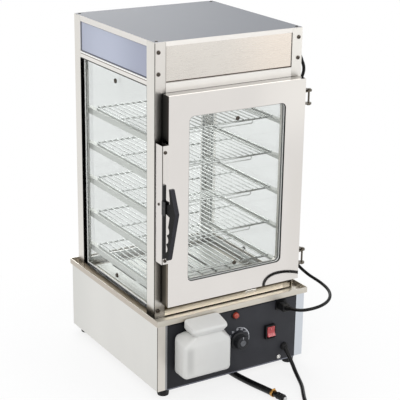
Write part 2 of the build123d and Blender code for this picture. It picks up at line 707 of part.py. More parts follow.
def window_seal():
    """The black rubber bead inside the window's edge."""
    return window_ring(-0.1, 3.4, DOOR_FRONT + 1.4, DOOR_FRONT + WINDOW_RECESS)


def door_gasket():
    """The soft frame on the back of the door that meets the cabinet."""
    y0 = DOOR_BACK
    y1 = -CABINET_Y - 0.3
    return block(-153.5, 155, y0, y1, 205, 624.5) - block(-147.5, 149, y0, y1, 211, 618.5)


def latch_plate():
    """The folded steel piece that widens the door edge behind the handle."""
    back = DOOR_BACK
    points = [
        (DOOR_LEFT - SHEET / 2, back),
        (DOOR_LEFT - SHEET / 2, DOOR_FRONT + SHEET / 2),
        (LATCH_X + SHEET / 2, DOOR_FRONT + SHEET / 2),
        (LATCH_X + SHEET / 2, -CABINET_Y - 0.8),
    ]
    return bent_along_z(points, LATCH_BOTTOM, LATCH_TOP)


def latch_base():
    """The black strip on the latch plate, with two cheeks that carry the handle."""
    pivot_y, pivot_z = HANDLE_PIVOT
    strip = block(LATCH_X + 0.4, HANDLE_X + 3, DOOR_FRONT - 4.1, DOOR_FRONT, 306, 458)
    cheeks = []
    for x0 in (HANDLE_X - 4.9, HANDLE_X + 2.9):
        cheeks.append(block(x0, x0 + 2, pivot_y - 5, DOOR_FRONT, pivot_z - 14, pivot_z + 14))
    base = strip + cheeks
    return base - rod((HANDLE_X - 8, pivot_y, pivot_z), (HANDLE_X + 8, pivot_y, pivot_z), HANDLE_PIN_RADIUS)


def handle_pin():
    """The cross pin that the handle turns on."""
    pivot_y, pivot_z = HANDLE_PIVOT
    start = (HANDLE_X - 4.9, pivot_y, pivot_z)
    return rod(start, (HANDLE_X + 4.9, pivot_y, pivot_z), HANDLE_PIN_RADIUS)


def handle_grip():
    """The bent grip with finger scallops, and the arm that meets the pin."""
    pivot_y, pivot_z = HANDLE_PIVOT
    grip = Polyline(
        (-226, 457), (-232, 457), (HANDLE_FRONT, 412), (-224.5, 313), (-221, 309), (-216.5, 311), (-216, 330),
        (-220, 361), (-227, 391), (-232, 412), (-229, 440), close=True
    )
    arm = Polyline(
        (-232, 398), (-213, 402), (pivot_y, pivot_z - 5), (pivot_y + 2.6, pivot_z - 4), (pivot_y + 2.6, pivot_z + 4),
        (pivot_y, pivot_z + 5), (-213, 420), (-234, 430), close=True
    )
    side_plane = Plane(origin=(HANDLE_X, 0, 0), x_dir=(0, 1, 0), z_dir=(1, 0, 0))
    handle = side_plane * extrude(make_face(grip), amount=HANDLE_WIDTH / 2, both=True)
    for z in (333, 352, 371):
        y = -213.4 - (z - 333) * 0.16
        handle -= rod((HANDLE_X - 8, y, z), (HANDLE_X + 8, y, z), 8.5)
    handle += side_plane * extrude(make_face(arm), amount=HANDLE_ARM / 2, both=True)
    bore = HANDLE_PIN_RADIUS + HINGE_CLEARANCE
    return handle - rod((HANDLE_X - 8, pivot_y, pivot_z), (HANDLE_X + 8, pivot_y, pivot_z), bore)


def hinge_brackets():
    """The two brackets on the right post, each with an ear above and below the door's ears."""
    brackets = []
    outline = Polyline((CABINET_X, -150), (CABINET_X + 1.6, -150), (HINGE_X + 5.5, HINGE_Y + 2.4),
                       (HINGE_X, HINGE_Y), (HINGE_X - 5.6, HINGE_Y - 2.2), (CABINET_X, -178), close=True)
    for low, high in HINGE_SPANS:
        plate = block(CABINET_X, CABINET_X + 1.6, -168, -150, low, high)
        ear = make_face(outline) + Pos(HINGE_X, HINGE_Y) * RegularPolygon(HINGE_EAR_RADIUS, 10)
        ear = extrude(ear - Pos(HINGE_X, HINGE_Y) * Circle(HINGE_PIN_RADIUS), amount=2)
        brackets.append(plate + Pos(0, 0, low) * ear + Pos(0, 0, high - 2) * ear)
    return group(brackets)


def hinge_leaves():
    """The two door leaves, with ears that turn on the pins inside the brackets."""
    leaves = []
    outline = Polyline((DOOR_RIGHT, -193), (HINGE_X, HINGE_Y - 6), (HINGE_X, HINGE_Y + 6), (DOOR_RIGHT, -178),
                       close=True)
    ear = make_face(outline) + Pos(HINGE_X, HINGE_Y) * RegularPolygon(HINGE_EAR_RADIUS, 10)
    ear = extrude(ear - Pos(HINGE_X, HINGE_Y) * Circle(HINGE_PIN_RADIUS + HINGE_CLEARANCE), amount=2)
    for low, high in HINGE_SPANS:
        plate = block(DOOR_RIGHT, DOOR_RIGHT + 1.6, -193, -178, low + 2.1, high - 2.1)
        leaves.append(plate + Pos(0, 0, low + 2.1) * ear + Pos(0, 0, high - 4.1) * ear)
    return group(leaves)


def hinge_pins():
    """The two steel pins with a head at each end."""
    pins = []
    for low, high in HINGE_SPANS:
        pin = rod((HINGE_X, HINGE_Y, low - 1.6), (HINGE_X, HINGE_Y, high + 1.6), HINGE_PIN_RADIUS)
        pin += bar((HINGE_X, HINGE_Y, low - 1.6), (HINGE_X, HINGE_Y, low), 3.6, 8)
        pin += bar((HINGE_X, HINGE_Y, high), (HINGE_X, HINGE_Y, high + 1.6), 3.6, 8)
        pins.append(pin)
    return group(pins)


def screw_head(position, direction, radius=4.0, height=2.4):
    """A plain pan head."""
    return bar(position, tuple(Vector(*position) + Vector(*direction) * height), radius, 8)


def cabinet_screws():
    """Pan heads on the front and rear of the corner posts and on the lid's corners."""
    heads = []
    for x in (-162.0, 161.0):
        for z in (182.0, 668.5, 710.5):
            heads.append(screw_head((x, -CABINET_Y, z), (0, -1, 0)))
            heads.append(screw_head((x, CABINET_Y, z), (0, 1, 0)))
        for y in (-163.0, 163.0):
            heads.append(screw_head((x, y, CABINET_TOP), (0, 0, 1), 3.0, 1.6))
    return group(heads)


def door_screws():
    """Pan heads that hold the latch plate, and the two studs of the door's pane."""
    heads = [screw_head((-161.5, DOOR_FRONT, z), (0, -1, 0), 3.6, 2.2) for z in (299.4, 521.5)]
    heads.append(screw_head((LATCH_X, -186, 415), (-1, 0, 0), 3.0, 1.6))
    heads += [screw_head((8, DOOR_FRONT + WINDOW_RECESS, z), (0, -1, 0), 4.6, 1.5) for z in (260, 566)]
    return group(heads)


# Cords and hose
# Each route is a list of points chosen by hand; straight runs are joined by tangent arcs.
LAMP_CABLE_RADIUS = 3.4
MAINS_RADIUS = 4.25
HOSE_RADIUS = 6.8
CORD_SIDES = 6
LAMP_EXIT = (183.0, -155.0, 658.0)
LAMP_PLUG_END = (119.0, -239.0, 151.0)
MAINS_EXIT = (131.0, -223.0, 34.0)
COIL_CENTRE = (10.0, -466.0)
COIL_RADIUS = 46.5
COIL_HALF_SECTION = 8.6
COIL_OUTER_TURN = COIL_RADIUS + COIL_HALF_SECTION - MAINS_RADIUS
COIL_END = (COIL_CENTRE[0] - 24.0, COIL_CENTRE[1] - COIL_OUTER_TURN, 12.9)

LAMP_CABLE_ROUTE = [
    LAMP_EXIT,
    (194, -153.5, 642),
    (190, -145, 612),
    (181.5, -137, 568),
    (180, -133, 505),
    (182, -135, 440),
    (180, -133, 372),
    (182, -134, 305),
    (184, -136, 250),
    (191, -146, 212),
    (202, -182, 192),
    (208, -222, 187),
    (204, -260, 182),
    (186, -286, 177),
    (160, -295, 171),
    (135, -284, 163),
    (122, -262, 155),
    LAMP_PLUG_END,
]

MAINS_ROUTE = [
    MAINS_EXIT,
    (131, -235, 23),
    (128, -253, 10),
    (121, -276, 4.3),
    (108, -306, 4.3),
    (90, -335, 4.3),
    (74, -363, 4.3),
    (64, -394, 4.3),
    (COIL_CENTRE[0] + COIL_OUTER_TURN, -422, 4.3),
    (COIL_CENTRE[0] + COIL_OUTER_TURN, -443, 4.3),
]

HOSE_ROUTE = [
    (DRAIN_AT[0], DRAIN_OUTLET_Y, DRAIN_Z),
    (DRAIN_AT[0], -180, DRAIN_Z),
    (13, -214, 7.6),
    (21, -250, 7.0),
    (29, -284, 7.6),
    (34, -312, 8.4),
]


def bend_radii(points):
    """The largest radius that the two runs at each corner allow."""
    radii = []
    for before, corner, after in zip(points, points[1:], points[2:]):
        run_in = Vector(*corner) - Vector(*before)
        run_out = Vector(*after) - Vector(*corner)
        turn = radians(run_in.get_angle(run_out))
        radii.append(0.45 * min(run_in.length, run_out.length) / tan(turn / 2))
    return radii


def laid_tube(name, points, radius):
    """A cord: straight runs joined by tangent arcs, with its radii and length printed."""
    radii = bend_radii(points)
    path = FilletPolyline(*points, radius=radii)
    section = Plane(origin=path @ 0, z_dir=path % 0) * RegularPolygon(radius, CORD_SIDES)
    tube = sweep(section, path=path)
    expected = section.area * path.length
    print(name, "length", round(path.length), "smallest radius", round(min(radii)), "volume share",
          round(tube.volume / expected, 4))
    return tube


def lamp_cable():
    """The lamp's lead, from the header down the right side and round to its socket."""
    return laid_tube("lamp cable", LAMP_CABLE_ROUTE, LAMP_CABLE_RADIUS)


def lamp_cable_grommet():
    """The angled outlet on the right post that the lamp's lead comes out of."""
    exit_point = Vector(*LAMP_EXIT)
    run = (Vector(*LAMP_CABLE_ROUTE[1]) - exit_point).normalized()
    start = exit_point - run * 14
    plate = block(CABINET_X, start.X + 1, start.Y - 6, start.Y + 6, start.Z - 12, start.Z + 6)
    plate = chamfer(plate.edges().filter_by(Axis.X), 2)
    return plate + sleeve(tuple(start), LAMP_EXIT, 5.2, 4.0)


def lamp_plug():
    """The plug in the panel's lamp outlet."""
    end = Vector(*LAMP_PLUG_END)
    run = (end - Vector(*LAMP_CABLE_ROUTE[-2])).normalized()
    socket_x, socket_z = SOCKET_AT
    body = block(socket_x - 9, socket_x + 9, BASE_FRONT - 24, BASE_FRONT - 3, socket_z - 8, socket_z + 8)
    body = chamfer(body.edges().filter_by(Axis.Y), 2.4)
    return body + sleeve(tuple(end + run * 16), LAMP_PLUG_END, 6.0, 4.4)


def mains_cord():
    """The mains lead, from its gland to the coil."""
    return laid_tube("mains cord", MAINS_ROUTE, MAINS_RADIUS)


def mains_coil():
    """The outer shape of the coiled rest of the mains lead."""
    half = COIL_HALF_SECTION
    outline = RegularPolygon(COIL_RADIUS + half, 20) - RegularPolygon(COIL_RADIUS - half, 20)
    ring = Pos(*COIL_CENTRE) * extrude(outline, amount=2 * half)
    levels = ring.edges().filter_by(Axis.Z, reverse=True)
    return chamfer(levels, 4)


PLUG_RADIUS = 18.0
PLUG_SLEEVE = 30.0


def mains_plug():
    """A round two-pin plug with its tapered sleeve, lying beside the coil."""
    x, y, z = COIL_END
    back = x - PLUG_SLEEVE
    face = back - 29
    plug = sleeve((back + 4, y, PLUG_RADIUS), (back - 9, y, PLUG_RADIUS), 9, 15)
    plug += bar((back - 9, y, PLUG_RADIUS), (face, y, PLUG_RADIUS), PLUG_RADIUS, 16)
    plug += bar((x, y, z), (back + 2, y, PLUG_RADIUS - 1), MAINS_RADIUS + 1, 8)
    for side in (-9.5, 9.5):
        plug += bar((face, y + side, PLUG_RADIUS), (face - 20, y + side, PLUG_RADIUS), 2.4, 8)
    return plug


def drain_hose():
    """The black drain hose, laid on the floor."""
    return laid_tube("drain hose", HOSE_ROUTE, HOSE_RADIUS)


def hose_direction():
    """The direction of the hose's last run."""
    return (Vector(*HOSE_ROUTE[-1]) - Vector(*HOSE_ROUTE[-2])).normalized()


def hose_clamp():
    """The brass band round the end of the hose."""
    axis = hose_direction()
    end = Vector(*HOSE_ROUTE[-1])
    start = end - axis * 6.5
    band = bar(tuple(start), tuple(end - axis * 0.5), HOSE_RADIUS + 1.1)
    return band - rod(tuple(start - axis), tuple(end + axis), HOSE_RADIUS)


def hose_stopper():
    """The ribbed plug that closes the hose, with a pale tip."""
    end = Vector(*HOSE_ROUTE[-1])
    axis = hose_direction()
    stopper = bar(tuple(end), tuple(end + axis * 30), 6.3, 8)
    for start in (9, 16, 23):
        stopper += bar(tuple(end + axis * start), tuple(end + axis * (start + 4)), 7.6, 8)
    return stopper + bar(tuple(end + axis * 30), tuple(end + axis * 34), 4, 8)


def parts():
    """Every node by name."""
    front_left = corner_post(True)
    rear_left = corner_post(False)
    nodes = {
        "base_housing": base_housing(),
        "base_bottom_plate": base_bottom_plate(),
        "control_panel": control_panel(),
        "drip_tray": drip_tray(),
        "rubber_feet": rubber_feet(),
        "water_pan": water_pan(),
        "heating_element": heating_element(),
        "steam_plate": steam_plate(),
        "corner_post_front_left": front_left,
        "corner_post_front_right": mirrored(front_left),
        "rear_corner_posts": group([rear_left, mirrored(rear_left)]),
        "shelf_pilasters": shelf_pilasters(),
        "frame_rails": frame_rails(),
        "steel_header_panels": steel_header_panels(),
        "light_box_panels": light_box_panels(),
        "top_panel": top_panel(),
        "ceiling_panel": ceiling_panel(),
        "lamp_tube": lamp_tube(),
        "lamp_holders": lamp_holders(),
        "glass_panes": glass_panes(),
        "glass_gaskets": glass_gaskets(),
        "glass_studs": glass_studs(),
        "shelf_rails": shelf_rails(),
        "pilot_lamp": pilot_lamp(),
        "thermostat_body": thermostat_body(),
        "thermostat_knob": thermostat_knob(),
        "switch_housing": switch_housing(),
        "switch_rocker": switch_rocker(),
        "lamp_socket": lamp_socket(),
        "mains_gland": mains_gland(),
        "water_filler_box": water_filler_box(),
        "filler_lid": filler_lid(),
        "door_outer_skin": door_outer_skin(),
        "door_inner_panel": door_inner_panel(),
        "door_glass": door_glass(),
        "window_seal": window_seal(),
        "door_gasket": door_gasket(),
        "latch_plate": latch_plate(),
        "latch_base": latch_base(),
        "handle_pin": handle_pin(),
        "handle_grip": handle_grip(),
        "hinge_brackets": hinge_brackets(),
        "hinge_leaves": hinge_leaves(),
        "hinge_pins": hinge_pins(),
        "cabinet_screws": cabinet_screws(),
        "door_screws": door_screws(),
        "lamp_cable_grommet": lamp_cable_grommet(),
        "lamp_cable": lamp_cable(),
        "lamp_plug": lamp_plug(),
        "mains_cord": mains_cord(),
        "mains_coil": mains_coil(),
        "mains_plug": mains_plug(),
        "drain_hose": drain_hose(),
        "hose_clamp": hose_clamp(),
        "hose_stopper": hose_stopper(),
    }
    for index in range(RACK_COUNT):
        nodes[f"wire_rack_{index + 1}"] = wire_rack(index)
    return nodes


os.makedirs("parts", exist_ok=True)
for name, part in parts().items():
    placed = Pos(-FOOTPRINT_CENTRE[0], -FOOTPRINT_CENTRE[1], 0) * part
    export_step(placed, f"parts/{name}.step")
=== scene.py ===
from math import cos, pi, radians, sin, tau

import bmesh
import bpy
from mathutils import Matrix, Vector


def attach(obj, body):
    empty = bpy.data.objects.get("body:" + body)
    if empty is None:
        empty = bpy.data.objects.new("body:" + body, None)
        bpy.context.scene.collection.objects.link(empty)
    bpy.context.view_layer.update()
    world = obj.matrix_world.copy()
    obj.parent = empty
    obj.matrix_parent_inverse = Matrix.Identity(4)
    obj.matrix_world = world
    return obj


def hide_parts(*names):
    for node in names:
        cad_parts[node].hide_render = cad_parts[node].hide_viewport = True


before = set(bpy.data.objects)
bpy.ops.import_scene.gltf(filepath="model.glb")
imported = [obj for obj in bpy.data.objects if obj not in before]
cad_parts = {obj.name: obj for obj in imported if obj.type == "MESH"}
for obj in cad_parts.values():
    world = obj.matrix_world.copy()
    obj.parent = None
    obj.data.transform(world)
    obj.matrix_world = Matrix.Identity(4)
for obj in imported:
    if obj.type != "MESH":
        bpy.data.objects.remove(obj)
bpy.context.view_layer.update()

# Millimetres from the middle of the glass cabinet, with the floor at z = 0 and the front at -Y
FOOTPRINT_X = 2.55
FOOTPRINT_Y = -32.0

# Driving sizes of the cabinet and its base, as in the part
SIDE_X = 170.0
FRONT_Y = -172.0
REAR_Y = 172.0
CABINET_TOP = 730.0
SHEET = 1.2
POST_INSIDE = SIDE_X - 24.0
FRONT_POST_END = FRONT_Y + 31.6
REAR_POST_END = REAR_Y - 27.4
HEADER = 650.0
LINTEL = 640.0
SILL = 178.0
TRAY_BOTTOM = 164.0
TRAY_LIP = 176.0
BASE_X = 179.9

# Driving sizes of the control panel
PANEL_LEFT = -156.0
PANEL_RIGHT = 159.0
PANEL_BOTTOM = 15.5
PANEL_FACE = -202.7
LAMP_AT = (5.0, 148.0)
KNOB_AT = (13.5, 89.5)
SWITCH_AT = (92.0, 92.0)
PLUG_AT = (119.0, 147.0)
GLAND_AT = (131.0, 48.0)
FILLER_PORT_AT = (-88.0, 90.0)
EARTH_SCREW_AT = (119.0, 25.5)

# Driving sizes of the door and its latch
DOOR_LEFT = -154.3
DOOR_RIGHT = 164.3
DOOR_TOP = 630.9
DOOR_FRONT = -198.9
WINDOW = (-109.0, 117.0, 244.0, 586.5)
WINDOW_CORNER = 11.0
LATCH_X = -168.4

# Driving sizes of the racks and their strips
RACK_COUNT = 5
RACK_PITCH = 77.6
RACK_ROD = 2.0
RACK_WIRE = 1.25
RACK_WIRES = 21
LOWEST_RACK = 222.0 + RACK_ROD
SLOTS_PER_PITCH = 7

# The directions that forms are turned about
TO_FRONT = (0, -1, 0)
TO_REAR = (0, 1, 0)
TO_LEFT = (-1, 0, 0)
TO_RIGHT = (1, 0, 0)
UPWARDS = (0, 0, 1)


def at(x, y, z):
    """A point of the case in the frame's metres."""
    return Vector(((x - FOOTPRINT_X) / 1000, (y - FOOTPRINT_Y) / 1000, z / 1000))


def rgb(*screen):
    """A screen colour, 0 to 255, as linear light."""
    linear = [((c / 255 + 0.055) / 1.055) ** 2.4 if c > 10 else c / 255 / 12.92 for c in screen]
    return (*linear, 1.0)


def in_scene(name, data):
    """A new object of the scene."""
    made = bpy.data.objects.new(name, data)
    bpy.context.scene.collection.objects.link(made)
    return made


# Camera
CAMERA_TURN = (31.62, -18.93, 0.85)
CAMERA_AT = (-1283.68, -2150.03, 1199.02)
CAMERA_LENS = 110.76


def camera():
    """The photograph's view: a long lens, left of the case and above it."""
    yaw, pitch, roll = (radians(turn) for turn in CAMERA_TURN)
    ahead = cos(pitch)
    forward = Vector((sin(yaw) * ahead, cos(yaw) * ahead, sin(pitch)))
    level = Vector((cos(yaw), -sin(yaw), 0))
    upward = level.cross(forward)
    right = level * cos(roll) + upward * sin(roll)
    up = upward * cos(roll) - level * sin(roll)
    data = bpy.data.cameras.new("camera")
    data.lens = CAMERA_LENS
    data.clip_end = 50
    eye = in_scene("camera", data)
    turn = Matrix((right, up, -forward)).transposed().to_4x4()
    eye.matrix_world = Matrix.Translation(at(*CAMERA_AT)) @ turn
    bpy.context.scene.camera = eye


camera()


# Shader nodes
class Field:
    """A shader value that adds, multiplies and compares like a number."""

    def __init__(self, nodes, socket):
        self.nodes = nodes
        self.socket = socket

    def worked(self, operation, *values):
        """The field that a Math node works out from these values."""
        return Field(self.nodes, self.nodes.node("Math", values, operation=operation).outputs[0])

    def __add__(self, other):
        return self.worked("ADD", self, other)

    def __sub__(self, other):
        return self.worked("SUBTRACT", self, other)

    def __rsub__(self, other):
        return self.worked("SUBTRACT", other, self)

    def __mul__(self, other):
        return self.worked("MULTIPLY", self, other)

    def __gt__(self, other):
        return self.worked("GREATER_THAN", self, other)

    def __lt__(self, other):
        return self.worked("LESS_THAN", self, other)

    __radd__ = __add__
    __rmul__ = __mul__

    def step(self, low, high, start=0.0, end=1.0):
        """Runs smoothly from start to end as this field goes from low to high."""
        values = (self, low, high, start, end)
        made = self.nodes.node("MapRange", values, interpolation_type="SMOOTHSTEP")
        return Field(self.nodes, made.outputs[0])

    def between(self, low, high):
        """1 where this field lies between the two values."""
        return (self > low) * (self < high)


class Nodes:
    """A node tree, and what is made in it."""

    def __init__(self, tree):
        self.tree = tree

    def node(self, kind, inputs=(), stops=(), **settings):
        """A node with its settings, a ramp's stops, and the values or fields of its inputs."""
        made = self.tree.nodes.new("ShaderNode" + kind)
        for key, value in settings.items():
            setattr(made, key, value)
        if stops:
            elements = made.color_ramp.elements
            while len(elements) < len(stops):
                elements.new(0.5)
            for element, (where, color) in zip(elements, stops):
                element.position = where
                element.color = color
        named = inputs.items() if isinstance(inputs, dict) else enumerate(inputs)
        for key, value in named:
            self.feed(made.inputs[key], value)
        return made

    def feed(self, slot, value):
        """Links a field or socket to the slot, or writes a plain value in it."""
        value = getattr(value, "socket", value)
        if isinstance(value, bpy.types.NodeSocket):
            self.tree.links.new(value, slot)
        else:
            slot.default_value = value

    def split(self, vector):
        """The three parts of a vector."""
        return [Field(self, out) for out in self.node("SeparateXYZ", (vector,)).outputs]

    def mix(self, share, first, second):
        """The first colour where share is 0 and the second where it is 1."""
        made = self.node("Mix", {0: share, 6: first, 7: second}, data_type="RGBA")
        return Field(self, made.outputs[2])

    def rays(self, *kinds):
        """For each kind of ray, 1 where the light's path is of that kind."""
        path = self.node("LightPath")
        return [Field(self, path.outputs[f"Is {kind} Ray"]) for kind in kinds]


MATERIALS = {}
LEFT = (0, -1)
RIGHT = (0, 1)
FRONT = (1, -1)
TOP = (2, 1)


class Surface(Nodes):
    """A Principled material and the fields that feed it."""

    def __init__(self, name, color, roughness=0.4, metallic=0.0, **values):
        material = bpy.data.materials.new(name)
        material.use_nodes = True
        MATERIALS[name] = material
        super().__init__(material.node_tree)
        self.shader = self.tree.nodes["Principled BSDF"]
        self.direction = None
        self.tone = color
        values.update(Base_Color=color, Roughness=roughness, Metallic=metallic)
        for key, value in values.items():
            self.set(key.replace("_", " "), value)

    def set(self, name, value):
        """Feeds one input of the Principled shader."""
        self.feed(self.shader.inputs[name], value)

    def paint(self, share, *color):
        """Lays a field's colour, or a screen colour, over the tone by this share."""
        over = color[0] if isinstance(color[0], Field) else rgb(*color)
        self.tone = self.mix(share, self.tone, over)

    def show(self, shader):
        """Makes this shader node the material's surface."""
        self.feed(self.tree.nodes["Material Output"].inputs["Surface"], shader.outputs[0])

    def place(self):
        """The position on the piece, in the case's millimetres."""
        x, y, z = self.split(self.node("TexCoord").outputs["Object"])
        return x * 1000 + FOOTPRINT_X, y * 1000 + FOOTPRINT_Y, z * 1000

    def faces(self, side, least=0.5):
        """1 on the faces that look to this side, and 0 elsewhere."""
        if not self.direction:
            normal = self.node("NewGeometry").outputs["True Normal"]
            turn = self.node("VectorTransform", (normal,), vector_type="NORMAL",
                             convert_from="WORLD", convert_to="OBJECT")
            self.direction = self.split(turn.outputs[0])
        axis, sign = side
        return self.direction[axis] * sign > least

    def noise(self, scale, detail=3.0, stretch=(1, 1, 1)):
        """Noise at so many blotches to the metre, stretched where a number is low."""
        where = self.node("TexCoord").outputs["Object"]
        mapping = self.node("Mapping", {"Vector": where, "Scale": stretch})
        inputs = {"Vector": mapping.outputs[0], "Scale": scale, "Detail": detail}
        made = self.node("TexNoise", inputs)
        return Field(self, made.outputs["Fac"])

    def crevice(self, reach=0.03):
        """1 deep in a gap and 0 on an open face."""
        open_share = self.node("AmbientOcclusion", {"Distance": reach}, samples=12).outputs["AO"]
        return Field(self, open_share).step(0.86, 0.4)

    def bump(self, height, depth):
        """Raises the surface by the field, depth metres for 1."""
        made = self.node("Bump", {"Height": height, "Distance": depth})
        self.set("Normal", made.outputs[0])


# Materials
def brushed_steel(name, color, roughness=0.3, grain=(1, 1, 0.02), details=None, metallic=1.0,
                  depth=0.000006):
    """Stainless sheet with a fine grain and faint smears."""
    steel = Surface(name, color, roughness, metallic)
    streaks = steel.noise(1500, 2.0, grain)
    smears = steel.noise(9, 4.0)
    darker = tuple(c * 0.955 for c in color[:3]) + (1,)
    steel.tone = steel.mix(smears.step(0.35, 0.7) * 0.6 + streaks * 0.4, darker, color)
    if details:
        details(steel)
    steel.set("Base Color", steel.tone)
    steel.set("Roughness", roughness + (streaks - 0.5) * 0.10 + (smears - 0.5) * 0.08)
    steel.bump(streaks, depth)


def moulded(name, color, roughness=0.35, grain=0.00003, wear=None, details=None, specular=0.5, coat=0.0):
    """Moulded plastic or rubber with a fine texture and uneven gloss."""
    plastic = Surface(name, color, roughness, Specular_IOR_Level=specular, Coat_Weight=coat)
    fine = plastic.noise(1400)
    broad = plastic.noise(28)
    lighter = tuple(min(1, c * 1.35 + 0.012) for c in color[:3]) + (1,)
    plastic.tone = plastic.mix(broad.step(0.4, 0.75) * 0.35, color, wear or lighter)
    if details:
        details(plastic)
    plastic.set("Base Color", plastic.tone)
    plastic.set("Roughness", roughness + (broad - 0.5) * 0.16)
    plastic.bump(fine, grain)


def clear_pane(name, tint):
    """A tinted glass pane, which mirrors more at a slant."""
    glass = Surface(name, tint)
    clear = glass.node("BsdfTransparent", {"Color": tint})
    mirror = glass.node("BsdfGlossy", {"Roughness": 0.015, "Color": (0.97, 1.0, 0.99, 1)})
    slant = Field(glass, glass.node("LayerWeight", {"Blend": 0.5}).outputs["Facing"])
    haze = glass.noise(6).step(0.4, 0.8) * 0.02
    share = slant.worked("POWER", slant, 4.0) * 0.6 + 0.04 + haze
    glass.show(glass.node("MixShader", (share, clear.outputs[0], mirror.outputs[0])))
    glass.tree.nodes.remove(glass.shader)


def light_box_lines(sheet):
    """The lavender lamp space: a painted glow, paler in its middle, with painted shade in a dark line at
    its foot and rear end and in a band under the top.
    """
    _, y, z = sheet.place()
    pale = y.step(-130, 20) * (1 - y.step(60, 140) * 0.4) * 0.8 + sheet.noise(5, 2.0) * 0.3
    sheet.tone = sheet.mix(pale, rgb(150, 156, 178), rgb(184, 191, 211))
    sheet.paint((z < HEADER + 7.4) + (y > REAR_POST_END - 2.4), 66, 74, 98)
    sheet.paint(z > CABINET_TOP - 13.8, 120, 124, 140)


def door_lines(steel):
    """The door: painted light high on its front and painted shade low at its right, and its edges painted
    dark as the reflection of the dark gap round it.
    """
    x, y, z = steel.place()
    front = steel.faces(FRONT)
    depth = y - DOOR_FRONT
    steel.paint(front * z.step(470, 600) * x.step(0, 150) * 0.7, 240, 236, 230)
    steel.paint(front * z.step(520, 420) * x.step(118, 150) * 0.6, 218, 214, 209)
    upper = steel.mix(depth.step(-0.1, 5.9), rgb(74, 52, 46), rgb(30, 29, 25))
    lower = steel.mix(depth.step(1.9, 10.9), rgb(160, 152, 139), rgb(84, 79, 70))
    edge = steel.mix(z < 300, upper, lower)
    steel.paint(steel.faces(LEFT) * (x < DOOR_LEFT + 4.3), edge)
    steel.paint(steel.faces(TOP) * (z > DOOR_TOP - 5.9) * (depth > 3.4), 70, 64, 58)
    steel.paint(steel.faces(RIGHT) * (x > DOOR_RIGHT - 4.3), 120, 116, 110)


def post_lines(steel):
    """The left front post: painted shade on its folded corner, across its front face, at its inner edge and
    in the gap by the door, and a fine inner line.
    """
    x, y, z = steel.place()
    front = steel.faces(FRONT)
    side = steel.faces(LEFT)
    steel.paint(side * (y < FRONT_Y + SHEET), 48, 45, 40)
    steel.paint(side * (y > FRONT_POST_END - 1.4) * (z < LINTEL), 140, 142, 140)
    steel.paint(front * 0.6, 208, 204, 199)
    steel.paint(front * (x < 1.1 - SIDE_X), 48, 45, 40)
    steel.paint(front * (x > -POST_INSIDE - 0.9), 168, 164, 158)
    steel.paint(steel.crevice(), 36, 34, 30)


def rear_post_lines(steel):
    """The left rear post's black edge strip beside the glass."""
    x, y, z = steel.place()
    below = (x < 0) * (z < LINTEL + 1)
    steel.paint(below * steel.faces(LEFT) * (y < REAR_POST_END + 1.8), 14, 13, 12)
    steel.paint(below * steel.faces(FRONT) * (y < REAR_POST_END + 5.4), 8, 8, 8)


def gasket_tone(rubber):
    """The panes' black seals, with painted light that makes them pale where the posts and rails cover them.
    """
    x, y, z = rubber.place()
    rubber.paint((y > 130) + (z < SILL + 12), 240, 241, 239)
    rubber.paint((z < SILL + 5) * (x < 10 - SIDE_X), 250, 250, 248)


def lip_tone(rubber):
    """The window seal's lip, whose left and top edges catch the light."""
    x, _, z = rubber.place()
    _, right, bottom, _ = WINDOW
    rubber.paint(x < right - 5, 72, 73, 72)
    rubber.paint((x < right - 17) * (z > bottom + 6), 176, 175, 171)


def latch_lines(steel):
    """The dark line down the latch plate's front corner."""
    x, _, _ = steel.place()
    steel.paint(steel.faces(FRONT) * (x < LATCH_X + 1.8), 62, 58, 52)


def tray_lines(steel):
    """The tray: painted shade in the gutter's crease, under the door, on its left side and low on its front
    face, and painted light on its pale front lane and rim top.
    """
    x, y, z = steel.place()
    top = steel.faces(TOP)
    lane = top * (z < TRAY_BOTTOM + 6) * (y < FRONT_Y + 1)
    steel.paint(steel.crevice(0.025) * (1 - lane) * 0.7, 150, 141, 129)
    steel.paint(lane, 243, 238, 228)
    steel.paint(steel.faces(LEFT) * (x < -BASE_X - 0.1), 198, 190, 179)
    steel.paint(top * (z > TRAY_LIP - 2), 245, 241, 232)
    shade = z.step(TRAY_LIP - 1, TRAY_BOTTOM + 2) * 0.7
    steel.paint(steel.faces(FRONT) * shade, 204, 198, 186)


def header_lines(steel):
    """The header sheet, painted paler to the right as a reflection, with painted shade along the gap under
    it and fine darker lines at its ends.
    """
    x, _, z = steel.place()
    end = POST_INSIDE - 1.7
    steel.paint(x.step(-40, 120), 227, 217, 206)
    steel.paint((x < -end) + (x > end), 160, 154, 148)
    steel.paint(z < HEADER + 2.6, 72, 56, 48)


def sill_tone(steel, z):
    """The cream band under the door, with painted shade in brown up under the door and in a dark line at
    its foot.
    """
    shade = z.step(SILL, SILL + 4)
    sill = steel.mix(shade, rgb(228, 221, 208), rgb(92, 80, 62))
    return steel.mix(z < TRAY_BOTTOM + 4, sill, rgb(34, 27, 21))


def right_post_lines(steel):
    """The right front post's foot, where the sill's painted shade runs on to a painted dark gap, with
    painted shade in its crevices.
    """
    x, _, z = steel.place()
    foot = steel.faces(FRONT) * (z < SILL + 8)
    gap = 163
    steel.paint(foot * (x < gap), sill_tone(steel, z))
    steel.paint(foot * x.between(gap, gap + 4.4), 58, 52, 40)
    steel.paint(steel.crevice() * 0.6, 84, 78, 66)


